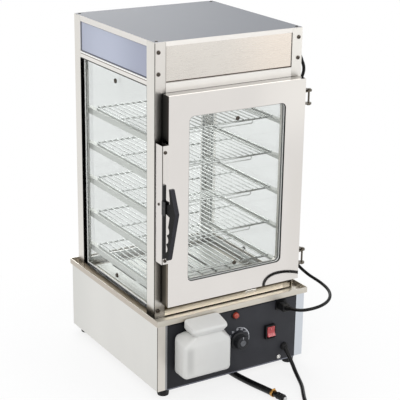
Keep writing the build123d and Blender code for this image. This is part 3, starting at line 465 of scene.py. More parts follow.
def rail_lines(steel):
    """The side rails: a painted highlight and a line of painted shade at the header, painted shade at the
    lintel, at their feet and under the door, and the pale tab under the door.
    """
    x, y, z = steel.place()
    front = steel.faces(FRONT)
    side = steel.faces(LEFT) + steel.faces(RIGHT)
    fold = HEADER + 1.6
    steel.paint(side * z.between(fold, HEADER + 6), 252, 252, 250)
    steel.paint(side * z.between(HEADER, fold), 112, 98, 88)
    steel.paint(side * z.between(LINTEL - 2, LINTEL + 2.2), 40, 38, 35)
    low = z < SILL + 12
    foot = steel.mix(z.step(TRAY_BOTTOM + 3, TRAY_LIP + 1), rgb(236, 229, 217), rgb(150, 141, 128))
    steel.paint(side * low, foot)
    ends = (x < 10 - SIDE_X) + (x > SIDE_X - 10)
    top_fold = steel.faces(TOP) * z.between(SILL - 2, SILL + 2) * ends
    steel.paint(top_fold, 20, 18, 16)
    steel.paint(front * (y < FRONT_Y + 2) * low, sill_tone(steel, z))
    tab = z.between(TRAY_LIP - 0.5, TRAY_LIP + 5) * x.between(49, 77) * (y < FRONT_Y + 0.1)
    steel.paint(tab, 255, 254, 250)


def top_tone(steel):
    """The lid: a top face painted dark grey as a reflection, with cream folded edges."""
    steel.paint(1 - steel.faces(TOP), 236, 232, 226)


def base_tone(steel):
    """The base, with painted reflections on its front strips, cooler at the right and warmer at the left,
    and painted shade towards the rear of its side, on its front corner, beside and round the panel and
    along its foot.
    """
    x, y, z = steel.place()
    front = steel.faces(FRONT)
    side = steel.faces(LEFT)
    corner = front * (x < 1.1 - BASE_X) + side * (y < PANEL_FACE + 0.9)
    steel.paint(side * y.step(60, 190) * 0.7, 212, 212, 208)
    steel.paint(front * (x > PANEL_RIGHT - 1), 206, 211, 217)
    steel.paint(front * (x < 0), 222, 217, 209)
    steel.paint(front * x.between(PANEL_LEFT - 5.5, PANEL_LEFT), 150, 150, 152)
    steel.paint(corner, 88, 84, 78)
    steel.paint(front * x.between(PANEL_LEFT - 1, PANEL_RIGHT + 1), 40, 40, 44)
    steel.paint(front * (z < PANEL_BOTTOM + 1.7), 70, 67, 62)


def panel_tone(plastic):
    """The slate plate, darker towards its left, with painted light on its paler bottom fold."""
    x, _, z = plastic.place()
    plastic.paint(1 - x.step(-150, 60), 24, 25, 30)
    plastic.paint(z < PANEL_BOTTOM + 2.9, 112, 114, 124)


def tank_tone(plastic):
    """The milky tank, a little darker towards its right, with a painted soft shade beside its left corner.
    """
    x, y, z = plastic.place()
    shade = x.step(-141, -134) * x.step(-116, -130) * (y < -230) * z.step(130, 112) * z.step(48, 84)
    plastic.paint(x.step(-120, -60) * 0.4, 206, 207, 206)
    plastic.paint(shade * 0.7, 182, 182, 179)


def handle_tone(plastic):
    """The grip's left flank lies in shade."""
    plastic.paint(plastic.faces(LEFT, 0.6), 2, 2, 2)


def rocker_tone(plastic):
    """The rocker's red, with painted light that makes it paler towards its lower half."""
    _, _, z = plastic.place()
    middle = SWITCH_AT[1]
    plastic.paint(z.step(middle + 5, middle - 8) * 0.5, 206, 92, 96)


def steels():
    """The finishes of the sheet metal, the fittings and the wire."""
    plain = rgb(228, 225, 219)
    door = rgb(226, 222, 218)
    across = (0.02, 1, 1)
    brushed_steel("steel", plain)
    brushed_steel("post_steel", plain, details=post_lines)
    brushed_steel("rail_steel", rgb(236, 233, 228), 0.3, across, rail_lines)
    brushed_steel("tray_steel", rgb(214, 209, 199), 0.44, across, tray_lines)
    brushed_steel("right_post_steel", plain, details=right_post_lines)
    brushed_steel("latch_steel", door, details=latch_lines)
    brushed_steel("rear_post_steel", plain, details=rear_post_lines)
    brushed_steel("header_steel", rgb(215, 210, 203), 0.28, across, header_lines)
    # The lid's top face is painted a dark grey that stands for a reflection
    brushed_steel("top_steel", rgb(126, 129, 135), 0.6, across, top_tone, metallic=0.0)
    brushed_steel("base_steel", rgb(226, 225, 221), 0.36, details=base_tone)
    brushed_steel("door_steel", door, 0.05, details=door_lines, depth=0.000001)
    # The strips are painted paler than the steel, as painted light inside the glass
    brushed_steel("strip_steel", rgb(252, 252, 249), 0.45, metallic=0.35)
    brushed_steel("plate_steel", rgb(232, 233, 229), 0.45, metallic=0.5)
    brushed_steel("shelf_steel", rgb(222, 223, 218), 0.5, metallic=0.7)
    brushed_steel("dark_steel", rgb(84, 78, 72), 0.25)
    brushed_steel("hinge_steel", rgb(112, 106, 96))
    brushed_steel("bright_steel", rgb(222, 221, 218), 0.2)
    brushed_steel("chrome", rgb(206, 208, 206), 0.16)
    brushed_steel("brass", rgb(196, 148, 84), 0.28)
    brushed_steel("heater", rgb(140, 132, 120), 0.4)


def mouldings():
    """The finishes of the plastic, rubber and paint."""
    moulded("panel", rgb(42, 43, 48), 0.5, 0.00001, details=panel_tone, specular=0.3)
    moulded("black", rgb(12, 12, 13), 0.36, specular=0.3)
    moulded("knob", rgb(26, 27, 30), 0.42, specular=0.35)
    moulded("handle", rgb(48, 48, 52), 0.45, 0.00004, details=handle_tone, specular=0.1)
    moulded("cord", rgb(4, 4, 5), 0.35, specular=0.25)
    moulded("gasket", rgb(14, 14, 15), 0.5, details=gasket_tone)
    moulded("rubber", rgb(14, 14, 15), 0.55, 0.00006, specular=0.3)
    moulded("lip", rgb(12, 12, 13), 0.5, details=lip_tone, specular=0.3)
    # The window channel's pale colour is a painted highlight
    moulded("channel_painted_highlight", rgb(220, 221, 218), 0.4, 0.00004)
    moulded("bead", rgb(92, 93, 93), 0.45)
    moulded("hose", rgb(5, 5, 6), 0.28, 0.00002, specular=0.3)
    moulded("white", rgb(214, 214, 211), 0.38, 0.00002, rgb(206, 205, 201), tank_tone)
    moulded("print_white", rgb(196, 198, 204), 0.5)
    moulded("knob_cap", rgb(88, 90, 94), 0.34)
    moulded("mark_pink", rgb(206, 120, 124), 0.4)
    moulded("red", rgb(168, 44, 50), 0.22, details=rocker_tone, coat=0.5)
    moulded("lens", rgb(160, 58, 42), 0.26, coat=0.3)
    moulded("tube", rgb(244, 244, 240), 0.2)
    moulded("acrylic", rgb(178, 186, 208), 0.2, 0.000001, details=light_box_lines, coat=0.3)


def glazing():
    """The finishes of the panes and the door's window."""
    clear_pane("side_glass", (0.93, 0.937, 0.934, 1))
    clear_pane("door_glass", (0.948, 0.954, 0.951, 1))


steels()
mouldings()
glazing()


# Forms
SHARP = radians(35)


def rounded(u0, u1, v0, v1, corner, steps=5):
    """The (u, v) points of a rounded rectangle, anticlockwise."""
    points = []
    for cu, cv, start in ((u1 - corner, v1 - corner, 0), (u0 + corner, v1 - corner, 90),
                          (u0 + corner, v0 + corner, 180), (u1 - corner, v0 + corner, 270)):
        for i in range(steps + 1):
            angle = radians(start + 90 * i / steps)
            points.append((cu + corner * cos(angle), cv + corner * sin(angle)))
    return points


class Form:
    """A mesh in the making, in the case's millimetres."""

    def __init__(self):
        self.mesh = bmesh.new()

    def skin(self, loops, closed=False):
        """A skin over loops of equally many points, closed on itself or capped at its ends."""
        rows = [[self.mesh.verts.new(at(*point)) for point in points] for points in loops]
        for low, high in zip(rows, rows[1:] + rows[:1] if closed else rows[1:]):
            for i in range(len(low)):
                j = (i + 1) % len(low)
                self.mesh.faces.new((low[i], low[j], high[j], high[i]))
        if not closed:
            self.mesh.faces.new(rows[0][::-1])
            self.mesh.faces.new(rows[-1])
        return self

    def turned(self, profile, origin, direction, steps=32, closed=False):
        """Turned about a line from (radius, height) points; a third item gives the flutes' shares."""
        turn = Vector(direction).to_track_quat("Z", "Y")
        loops = []
        for radius, height, *flute in profile:
            shares = flute[0] if flute else (1,)
            loop = []
            for i in range(steps):
                angle = tau * i / steps
                reach = radius * shares[i % len(shares)]
                spoke = Vector((cos(angle) * reach, sin(angle) * reach, height))
                loop.append(Vector(origin) + turn @ spoke)
            loops.append(loop)
        return self.skin(loops, closed)

    def sheet(self, columns, levels, holes):
        """A folded sheet over (x, y) columns and heights, without the cells that are holes."""
        rows = [[self.mesh.verts.new(at(x, y, z)) for x, y in columns] for z in levels]
        for k, (low, high) in enumerate(zip(rows, rows[1:])):
            for i in range(len(columns) - 1):
                if (i, k) not in holes:
                    self.mesh.faces.new((low[i], low[i + 1], high[i + 1], high[i]))

    def finish(self, name, finish, slot, *stands_for, body="cabinet", rounding=0.0, thickness=0.0):
        """The form as a piece of the case."""
        mesh = bpy.data.meshes.new(name)
        bmesh.ops.recalc_face_normals(self.mesh, faces=self.mesh.faces)
        self.mesh.to_mesh(mesh)
        self.mesh.free()
        made = piece(name, mesh, finish, slot, *stands_for, body=body)
        if thickness:
            sheet = made.modifiers.new("sheet", "SOLIDIFY")
            sheet.thickness = thickness / 1000
            sheet.offset = 0
        soften(made, rounding)
        return made


def piece(name, data, finish, slot, *stands_for, body="cabinet"):
    """Puts a mesh or curve on its body, in place of the nodes it stands for."""
    made = in_scene(name, data)
    data.materials.append(MATERIALS[finish])
    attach(made, body)
    if stands_for:
        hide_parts(*stands_for)
    return made


def soften(made, width):
    """Shades a piece smooth between its hard edges, and rounds these by width, in millimetres."""
    made.data.shade_smooth()
    made.data.set_sharp_from_angle(angle=SHARP)
    if width:
        rounding = made.modifiers.new("edges", "BEVEL")
        rounding.width = width / 1000
        rounding.segments = 2
        rounding.limit_method = "ANGLE"
        rounding.angle_limit = SHARP
        rounding.harden_normals = True


def round_curve(name, smoothness):
    """A curve that is drawn as a round bar, capped at its ends."""
    data = bpy.data.curves.new(name, "CURVE")
    data.dimensions = "3D"
    data.bevel_depth = 1.0
    data.bevel_resolution = smoothness
    data.use_fill_caps = True
    return data


def run_through(data, kind, places, radius):
    """A run of the curve through or along these places."""
    spline = data.splines.new(kind)
    spline.points.add(len(places) - 1)
    for point, place in zip(spline.points, places):
        point.co = (*at(*place), 1)
        point.radius = radius / 1000
    return spline


# Cords and hose
def cord_line(name, points, radius, finish, *stands_for):
    """A cord on one smooth line through its route."""
    data = round_curve(name, 5)
    data.resolution_u = 8
    spline = run_through(data, "NURBS", points, radius)
    spline.order_u = 3
    spline.use_endpoint_u = True
    return piece(name, data, finish, "black_rubber", *stands_for)


def evaluated_mesh(made):
    """The mesh that a curve or text makes."""
    bpy.context.view_layer.update()
    return bpy.data.meshes.new_from_object(made.evaluated_get(bpy.context.evaluated_depsgraph_get()))


def line_length(made):
    """The length of a cord's own line."""
    data = made.data
    depth, data.bevel_depth = data.bevel_depth, 0
    mesh = evaluated_mesh(made)
    data.bevel_depth = depth
    ends = [[mesh.vertices[i].co for i in edge.vertices] for edge in mesh.edges]
    return sum((end - start).length for start, end in ends)


LAMP_RADIUS = 3.4
LAMP_CABLE = [
    (183, -155, 658), (194, -153.5, 642), (190, -145, 612), (181.5, -137, 568), (180, -133, 505),
    (182, -135, 440), (180, -133, 372), (182, -134, 305), (184, -136, 250), (191, -146, 212),
    (202, -182, 192), (208, -222, 187), (204, -260, 182), (186, -286, 177), (160, -295, 171),
    (135, -284, 163), (122, -262, 155), (119, -239, 151),
]
MAINS_RADIUS = 4.25
MAINS_CORD = [
    (131, -223, 34), (131, -235, 23), (128, -253, 10), (121, -276, 4.3), (108, -306, 4.3), (90, -335, 4.3),
    (74, -363, 4.3), (64, -394, 4.3), (60.85, -422, 4.3),
]
HOSE_RADIUS = 6.8
DRAIN_HOSE = [
    (8, -150, 8.5), (8, -180, 8.5), (13, -214, 7.6), (21, -250, 7), (29, -284, 7.6), (34, -312, 8.4),
]

# The mains lead is put away in turns, two on top of two
LEAD_HEIGHT = 4.3
TURN_STEP = 8.55
COIL_RADIUS = 50.85
COIL_CENTRE = (10, -466)
COIL_TURNS = (
    (COIL_RADIUS, LEAD_HEIGHT), (COIL_RADIUS - TURN_STEP, LEAD_HEIGHT),
    (COIL_RADIUS - TURN_STEP, LEAD_HEIGHT + TURN_STEP), (COIL_RADIUS, LEAD_HEIGHT + TURN_STEP),
)
COIL_STEPS = 14
PLUG_Y = COIL_CENTRE[1] - COIL_RADIUS
LEAD_END = [(-8, PLUG_Y, 12.9), (-16, PLUG_Y, 12.9)]


def coil_points():
    """The turns of the put-away lead, clockwise."""
    points = []
    x, y = COIL_CENTRE
    rest = COIL_TURNS[1:] + COIL_TURNS[-1:]
    for turn, ((radius, height), (next_radius, next_height)) in enumerate(zip(COIL_TURNS, rest)):
        steps = COIL_STEPS if turn < len(COIL_TURNS) - 1 else COIL_STEPS // 4 + 1
        for i in range(steps):
            share = max(0, (i - COIL_STEPS + 4) / 4)
            reach = (radius + (next_radius - radius) * share) / cos(pi / COIL_STEPS) ** 0.5
            z = height + (next_height - height) * share
            angle = -tau * i / COIL_STEPS
            points.append((x + reach * cos(angle), y + reach * sin(angle), z))
    return points


def ribbed(start, end, count, length):
    """A strain relief's profile, in so many ribs from one radius to another."""
    profile = []
    for i in range(count):
        radius = start + (end - start) * i / count
        for share, height in ((1, 0), (1, 0.6), (0.86, 0.64), (0.86, 0.98)):
            profile.append((radius * share, (i + height) / count * length))
    return profile + [(end, length)]


def heading(start, end):
    """The direction from one point to another, one long."""
    return (Vector(end) - Vector(start)).normalized()


def outlet_plug():
    """The ribbed plug of the lamp lead, in its outlet."""
    x, z = PLUG_AT
    levels = [(3, 0.6), (3.8, 0)]
    for groove in (7.3, 10.9, 14.5, 18.1):
        levels += [(groove, 0), (groove + 0.4, 0.9), (groove + 1.8, 0.9), (groove + 2.2, 0)]
    levels += [(22.9, 0.2), (24, 1.4)]
    loops = []
    for out, i in levels:
        outline = rounded(x - 9 + i, x + 9 - i, z - 8 + i, z + 8 - i, 3, 4)
        loops.append([(u, PANEL_FACE - out, v) for u, v in outline])
    plug = Form().skin(loops)
    run = heading(LAMP_CABLE[-2], LAMP_CABLE[-1])
    plug.turned(ribbed(6, 4.5, 4, 16), Vector(LAMP_CABLE[-1]) + run * 16, -run, 24)
    return plug.finish("outlet_plug", "black", "black_plastic", "lamp_plug")


def plug_body():
    """The round mains plug with its ribbed boot."""
    form = Form()
    profile = [(8.6, -4), (9.2, 0), (11, 4), (15.2, 8), (17.4, 9.6), (18, 12)]
    for groove in (14, 19):
        profile += [(18, groove), (17.3, groove + 0.5), (17.3, groove + 2.5), (18, groove + 3)]
    form.turned(profile + [(18, 27), (17.2, 28.8), (15, 29)], (-44, PLUG_Y, 18), TO_LEFT, 48)
    run = Vector((-30, 0, 4.1))
    form.turned(ribbed(8.6, 5.2, 5, run.length), (-44, PLUG_Y, 17), -run.normalized(), 24)
    return form.finish("two_pin_plug", "black", "black_plastic", "mains_plug")


def plug_pins():
    """The mains plug's two round pins."""
    pins = Form()
    for side in (-9.5, 9.5):
        pins.turned([(2.4, 0), (2.4, 17.6), (1.9, 19), (0.9, 19.4)], (-73, PLUG_Y + side, 18), TO_LEFT, 20)
    return pins.finish("plug_pins", "bright_steel", "hinge_steel")


HOSE_END = Vector(DRAIN_HOSE[-1])
HOSE_RUN = heading(DRAIN_HOSE[-2], DRAIN_HOSE[-1])


def hose_band():
    """The brass clamp round the hose's end, with its screw on top."""
    clamp = Form()
    clamp.turned([(6.8, -6.4), (7.7, -6.4), (7.9, -6), (7.9, -1), (7.7, -0.6), (6.8, -0.6)], HOSE_END,
                 HOSE_RUN, 40, closed=True)
    side = Vector((HOSE_RUN.y, -HOSE_RUN.x, 0)).normalized()
    above = HOSE_END - HOSE_RUN * 3.5 + Vector((0, 0, 8))
    clamp.turned([(2, -4.2), (2, 2.6), (1.5, 3.2)], above, side, 12)
    return clamp.finish("hose_band", "brass", "brass", "hose_clamp")


def hose_plug():
    """The ribbed stopper in the hose's end."""
    profile = [(6, 0.1), (6.3, 0.6), (6.3, 8.4)]
    for rib in (9, 16, 23):
        profile += [(6.4, rib), (7.4, rib + 0.3), (7.6, rib + 1.2), (7.5, rib + 3.2), (6.5, rib + 4)]
    stopper = Form().turned(profile + [(6.2, 28.6), (5.4, 30)], HOSE_END, HOSE_RUN)
    return stopper.finish("hose_plug", "hose", "black_rubber", "hose_stopper")


def hose_tip():
    """The stopper's pale tip."""
    tip = Form().turned([(3.8, 29.6), (3.8, 32.6), (2.6, 33.8), (0.6, 34)], HOSE_END, HOSE_RUN, 24)
    return tip.finish("hose_tip", "white", "white_plastic")


def lamp_lead():
    """The lamp lead, from the light box to the outlet."""
    lead = cord_line("lamp_lead", LAMP_CABLE, LAMP_RADIUS, "cord", "lamp_cable")
    at(*LAMP_CABLE[0])
    line_length(lead)
    outlet_plug()


def mains_lead():
    """The mains lead, which ends in a coil and a plug."""
    route = MAINS_CORD + coil_points() + LEAD_END
    mains = cord_line("mains_lead", route, MAINS_RADIUS, "cord", "mains_cord", "mains_coil")
    at(*MAINS_CORD[0])
    line_length(mains)
    plug_body()
    plug_pins()


def drain_hose():
    """The drain hose with its clamp and stopper."""
    hose = cord_line("hose", DRAIN_HOSE, HOSE_RADIUS, "hose", "drain_hose")
    at(*DRAIN_HOSE[0])
    line_length(hose)
    hose_band()
    hose_plug()
    hose_tip()


lamp_lead()
mains_lead()
drain_hose()


# Racks and the strips that carry them
def wire_rack(index):
    """A rack: a rod ring, a cross rod, wires from front to back and a low front bar."""
    front, rear, x, z = -114, 120, 148, LOWEST_RACK + RACK_PITCH * index
    inset = 6
    top = z + 2.7
    low = z - 8
    data = round_curve(f"rack_{index + 1}", 3)
    ring = [(u, v, z) for u, v in rounded(-x, x, front, rear, 9, 6)]
    run_through(data, "POLY", ring, RACK_ROD).use_cyclic_u = True
    run_through(data, "POLY", [(-x, 12, z), (x, 12, z)], 1.6)
    for i in range(RACK_WIRES):
        across = inset - x + i * 2 * (x - inset) / (RACK_WIRES - 1)
        run_through(data, "POLY", [(across, front - 1.5, top), (across, rear + 1.5, top)], RACK_WIRE)
    half = [(94, front, z), (94, front - 0.5, low + 2), (92, front - 0.5, low)]
    bar = [(-u, v, w) for u, v, w in half] + half[::-1]
    run_through(data, "POLY", bar, RACK_WIRE)
    piece(data.name, data, "chrome", "chrome_wire", f"wire_rack_{index + 1}")


def slotted_strips():
    """The four slotted angle strips inside the corners."""
    bottom, top, pitch, slot, margin = SILL + SHEET, 612, RACK_PITCH / SLOTS_PER_PITCH, 5.8, 6
    corner, edge = 155.6, 146.6
    count = int((top - bottom - 10) / pitch)
    levels = [bottom]
    for i in range(count):
        levels += [bottom + margin + i * pitch, bottom + margin + slot + i * pitch]
    levels.append(top)
    holes = {(column, 2 * i + 1) for i in range(count) for column in (1, 4)}
    form = Form()
    for y, inward in ((-162.6, 1), (157.4, -1)):
        for side in (-1, 1):
            columns = [(side * x, y) for x in (edge, 148.9, 152.7, corner)]
            columns += [(side * corner, y + inward * depth) for depth in (6.2, 9.8, 13.4)]
            form.sheet(columns, levels, holes)
    form.finish("slotted_strips", "strip_steel", "steel", "shelf_pilasters", thickness=SHEET)


# Water filler
BOTTLE_BODY = (-143, -32, -250, -203)
BOTTLE_NECK = (-116, -52, -245, -211.6)


def bottle_level(z, share, inset, corner, lift=0):
    """A level of the tank between its body and its neck."""
    x0, x1, y0, y1 = (body + (neck - body) * share for body, neck in zip(BOTTLE_BODY, BOTTLE_NECK))
    points = rounded(x0 + inset, x1 - inset, y0 + inset, y1 - inset, corner)
    return [(u, v, z + lift * (v - y0) / (y1 - y0)) for u, v in points]


def filler_bottle():
    """The blow-moulded tank with its open neck."""
    outer = [(54, 0, 7, 4), (54.6, 0, 4, 6), (56.6, 0, 1.6, 8), (60, 0, 0.2, 9), (63, 0, 0, 9),
             (90, 0, 0, 9), (117, 0, 0, 9, 12), (120.5, 0, 0.5, 9, 13), (124, 0.1, 0.2, 9, 13),
             (131, 0.5, 0, 8.5, 10),
             (139.5, 0.9, -0.3, 8, 3), (142.5, 1, 0, 8), (144.5, 1, 0, 8), (151, 1, 0, 8)]
    inner = [(151, 1, 2, 6), (142, 1, 2, 6), (121, 0, 2.4, 7, 10), (60, 0, 2.2, 7), (57, 0, 5, 5)]
    form = Form().skin([bottle_level(*row) for row in outer + inner])
    x, z = FILLER_PORT_AT
    form.turned([(8, 0), (8, 12)], (x, -204, z), TO_REAR, 24)
    form.finish("filler_bottle", "white", "white_plastic", "water_filler_box")


def cap_level(inset, corner, z=None, flare=1, below=0):
    """A level of the lid: flat at z, or so far below its sloping top."""
    left, right, front, rear = -120 - 5 * flare, -48 + 5.5 * flare, -248 - 4 * flare, -209.4
    points = rounded(left + inset, right - inset, front + inset, rear - inset, corner)
    rear_top, slope = 170, 0.249
    return [(u, v, rear_top + (v - rear) * slope - below if z is None else z) for u, v in points]


def filler_cap():
    """The sloping lid, flared to a soft lip, hollow over the neck."""
    rows = [(4.2, 5, 151.4, 0), (4.2, 5, 145, 0), (0.6, 6, 145, 0), (0, 7, 146.2, 0.05),
            (0, 7, 150.5, 0.55), (0, 8, 153.6), (0, 8, 155.4), (0.2, 8, None, 1, 3), (0.9, 8, None, 1, 1.1),
            (2.4, 7, None, 1, 0.2), (5, 5)]
    form = Form().skin([cap_level(*row) for row in rows])
    form.finish("filler_cap", "white", "white_plastic", "filler_lid", body="filler_lid")


# Controls
def on_panel(place):
    """A place on the panel's face."""
    return (place[0], PANEL_FACE, place[1])


def knob_grip():
    """The knob's fluted grip and its skirt."""
    flute = (1, 0.985, 0.955, 0.985)
    form = Form()
    form.turned([(3, -20), (3, 2), (18.4, 3.2), (19, 3.8), (19, 5.2), (18.4, 5.9), (16.4, 6.2),
                 (16.2, 6.8, flute), (15.4, 19.4, flute), (14.6, 20.6), (13, 21.2), (10.6, 21),
                 (9.8, 20.2), (7, 20)], on_panel(KNOB_AT), TO_FRONT, 96)
    form.finish("knob_grip", "knob", "black_plastic", "thermostat_knob", body="thermostat_knob")


def knob_cap():
    """The knob's pale round cap."""
    profile = [(6.6, 19.6), (6.6, 20.9), (5.8, 21.6), (4.4, 21.7), (3.8, 21), (0.6, 20.9)]
    cap = Form().turned(profile, on_panel(KNOB_AT), TO_FRONT, 40)
    cap.finish("knob_cap", "knob_cap", "black_plastic", body="thermostat_knob")


def knob_mark():
    """The white line that points at the dial."""
    x, z = KNOB_AT
    front, back = PANEL_FACE - 21.15, PANEL_FACE - 20
    corners = ((x - 0.6, front), (x + 0.6, front), (x + 0.6, back), (x - 0.6, back))
    mark = Form().skin([[(u, y, v) for u, y in corners] for v in (z + 9.6, z + 14.2)])
    mark.finish("knob_mark", "print_white", "white_plastic", body="thermostat_knob", rounding=0.15)


def printed_number(form, text, x, z, height):
    """Plain figures lying on the panel."""
    data = bpy.data.curves.new("figures", "FONT")
    data.body = text
    data.size = height / 700
    data.align_x = "CENTER"
    data.align_y = "CENTER"
    data.extrude = 0.00004
    made = in_scene("figures", data)
    mesh = evaluated_mesh(made)
    upright = Matrix.Rotation(pi / 2, 4, "X")
    mesh.transform(Matrix.Translation(at(x, PANEL_FACE - 0.05, z)) @ upright)
    form.mesh.from_mesh(mesh)
    bpy.data.objects.remove(made)


def printed_arc(form, start, end, inner, outer, steps):
    """A printed stroke between two angles, in degrees, and two radii."""
    x, z = KNOB_AT
    angles = [radians(start + (end - start) * i / steps) for i in range(steps + 1)]
    for a, b in zip(angles, angles[1:]):
        turns = ((a, inner), (b, inner), (b, outer), (a, outer))
        corners = [(x + cos(t) * r, z + sin(t) * r) for t, r in turns]
        form.skin([[(u, y, v) for u, v in corners] for y in (PANEL_FACE - 0.12, PANEL_FACE + 0.02)])


def dial_print():
    """The dial's arc, ticks and plain numbers."""
    x, z = KNOB_AT
    form = Form()
    for start, end, outer in ((-14, 16, 28), (16, 62, 28.6), (62, 96, 27.8)):
        printed_arc(form, start, end, 27, outer, 12)
    for i, figures in enumerate(("30", "50", "70", "90", "110")):
        turn = 150 - 27 * i
        across, up = cos(radians(turn)), sin(radians(turn))
        printed_number(form, figures, x + 23.6 * across, z + 23.6 * up, 4.2)
        printed_arc(form, turn - 0.8, turn + 0.8, 26.2, 27.4, 1)
    form.finish("panel_print", "print_white", "white_plastic")


ROCKER_TILT = radians(-9)
ROCKER_PIVOT_Y = -199.7


def on_rocker(across, up, out):
    """A place on the tilted rocker: across and up its face, and out from its pivot."""
    x, z = SWITCH_AT
    rise, lean = cos(ROCKER_TILT), sin(ROCKER_TILT)
    return (x + across, ROCKER_PIVOT_Y - (out * rise + up * lean), z + up * rise - out * lean)


def rocker():
    """The red rocker, its upper half pressed in."""
    upper = [(11, -9.5), (11.4, -2), (10.9, 13), (10.4, 13.7), (8, 12.9), (4, 11.7)]
    outline = [(-11, -9.5), *upper, (0, 11.2)] + [(-up, out) for up, out in upper[:0:-1]]
    form = Form().skin([[on_rocker(across, up, out) for up, out in outline] for across in (-9.2, 9.2)])
    form.finish("rocker", "red", "red_plastic", "switch_rocker", body="switch_rocker", rounding=0.5)


def rocker_marks():
    """The bar and the ring moulded on the rocker's halves."""
    marks = Form()
    corners = ((-0.5, 3.6), (0.5, 3.6), (0.5, 7.6), (-0.5, 7.6))
    marks.skin([[on_rocker(across, up, out) for across, up in corners] for out in (11.5, 13.1)])
    angles = [tau * i / 24 for i in range(24)]
    section = ((1.5, 11.5), (1.5, 12.7), (2.2, 12.7), (2.2, 11.5))
    marks.skin([[on_rocker(r * cos(t), r * sin(t) - 5.6, out) for t in angles]
                for r, out in section], closed=True)
    marks.finish("rocker_marks", "mark_pink", "white_plastic", body="switch_rocker")


def switch_collar():
    """The black collar that stands out round the rocker."""
    x, z = SWITCH_AT
    section = ((12.5, 15.5, 1.5), (12.5, 15.5, 7.4), (12, 15, 8), (10.2, 13.4, 8), (9.9, 13.1, 7.4),
               (9.9, 13.1, 1.5))
    collar = Form()
    collar.skin([[(u, PANEL_FACE - out, v) for u, v in rounded(x - w, x + w, z - h, z + h, 1.5, 3)]
                 for w, h, out in section], closed=True)
    collar.finish("switch_collar", "black", "black_plastic")


def pilot_collar():
    """The pilot lamp's black collar."""
    profile = [(7, 0), (9, 0), (9, 1.2), (8.4, 2), (7.4, 2.2), (7, 2)]
    collar = Form().turned(profile, on_panel(LAMP_AT), TO_FRONT, 40, closed=True)
    collar.finish("pilot_collar", "black", "black_plastic")


def pilot_lens():
    """The pilot lamp's ribbed amber-red dome."""
    rib = (1, 0.97)
    form = Form()
    form.turned([(6, -18), (6, -0.1), (6.9, 0), (6.9, 3, rib), (6.7, 4.8, rib), (6, 6.8, rib),
                 (4.4, 8.1), (2.4, 8.6), (0.4, 8.7)], on_panel(LAMP_AT), TO_FRONT, 48)
    form.finish("pilot_lens", "lens", "red_plastic", "pilot_lamp")


def lead_outlet():
    """The angled boot where the lamp lead leaves the light box."""
    run = heading(LAMP_CABLE[0], LAMP_CABLE[1])
    start = Vector(LAMP_CABLE[0]) - run * 14
    boot = Form()
    boot.skin([[(x, v, u) for u, v in rounded(start.z - 12 + i, start.z + 6 - i, start.y - 6 + i,
                                              start.y + 6 - i, 3, 4)]
               for x, i in ((SIDE_X, 0), (start.x - 0.4, 0), (start.x + 1, 1.2))])
    boot.turned(ribbed(5.2, 4, 4, 14), start, run, 24)
    boot.finish("lead_outlet", "black", "black_plastic", "lamp_cable_grommet")


def cord_gland():
    """The mains lead's nut and ribbed sleeve in the panel."""
    gland = Form()
    gland.turned([(6, -10), (6, 0), (8.5, 0), (8.5, 3.4), (8, 4.4), (6.6, 8), (5.2, 9.4)],
                 on_panel(GLAND_AT), TO_FRONT, 24)
    start, run = MAINS_CORD[0], heading(MAINS_CORD[0], MAINS_CORD[1])
    sleeve = [(6.9, -1), (6.9, 0)] + ribbed(5.6, 4.2, 5, 22)[1:]
    gland.turned(sleeve, Vector(start) - run * 22, run, 24)
    gland.finish("cord_gland", "rubber", "black_plastic", "mains_gland")


CROSS = (1, 0.5, 0.36, 0.36, 0.36, 0.5)


def earth_screw():
    """The bright screw at the panel's foot."""
    screw = Form()
    screw.turned([(4.6, 0), (4.6, 0.7), (3.6, 0.8), (3.6, 2), (3.1, 2.7), (1.8, 2.9), (1.6, 2.9, CROSS),
                  (1.3, 1.9, CROSS)], on_panel(EARTH_SCREW_AT), TO_FRONT, 24)
    screw.finish("earth_screw", "bright_steel", "hinge_steel")


# Screws and studs
def screw_heads(name, places, body, stands_for):
    """Pan heads with a cross recess: (place, direction, radius, height)."""
    form = Form()
    head = [(1, 0), (1, 0.5), (0.86, 0.85), (0.55, 1), (0.48, 1, CROSS), (0.4, 0.45, CROSS)]
    for place, direction, radius, height in places:
        profile = [(radius * share, height * rise, *cross) for share, rise, *cross in head]
        form.turned(profile, place, direction, 24)
    form.finish(name, "dark_steel", "hinge_steel", stands_for, body=body)


def frame_screws():
    """The screws of the cabinet's posts and top."""
    heads = []
    for x in (-162, 161):
        for z in (182, 668.5, 710.5):
            heads += [((x, FRONT_Y, z), TO_FRONT, 4, 2.4), ((x, REAR_Y, z), TO_REAR, 4, 2.4)]
        for y in (-163, 163):
            heads.append(((x, y, CABINET_TOP), UPWARDS, 3, 1.6))
    screw_heads("frame_screws", heads, "cabinet", "cabinet_screws")


def latch_screws():
    """The latch plate's screws, and the two studs of the door's pane."""
    heads = [((-161.5, DOOR_FRONT, z), TO_FRONT, 3.6, 2.2) for z in (299.4, 521.5)]
    heads.append(((LATCH_X, -186, 415), TO_LEFT, 3, 1.6))
    heads += [((8, DOOR_FRONT + 9.5, z), TO_FRONT, 4.6, 1.5) for z in (260, 566)]
    screw_heads("latch_screws", heads, "door", "door_screws")


def pane_studs():
    """The round studs of the side and rear panes."""
    profile = [(5, 0), (5, 1.5), (4.2, 2.5), (2.6, 2.8), (2.2, 2.1), (0.4, 2)]
    studs = Form()
    for z in (196, 619):
        for x, y, direction in ((-160.4, 5, TO_LEFT), (160.4, 5, TO_RIGHT), (0, 162.4, TO_REAR)):
            studs.turned(profile, (x, y, z), direction, 28)
    studs.finish("pane_studs", "dark_steel", "black_rubber", "glass_studs")


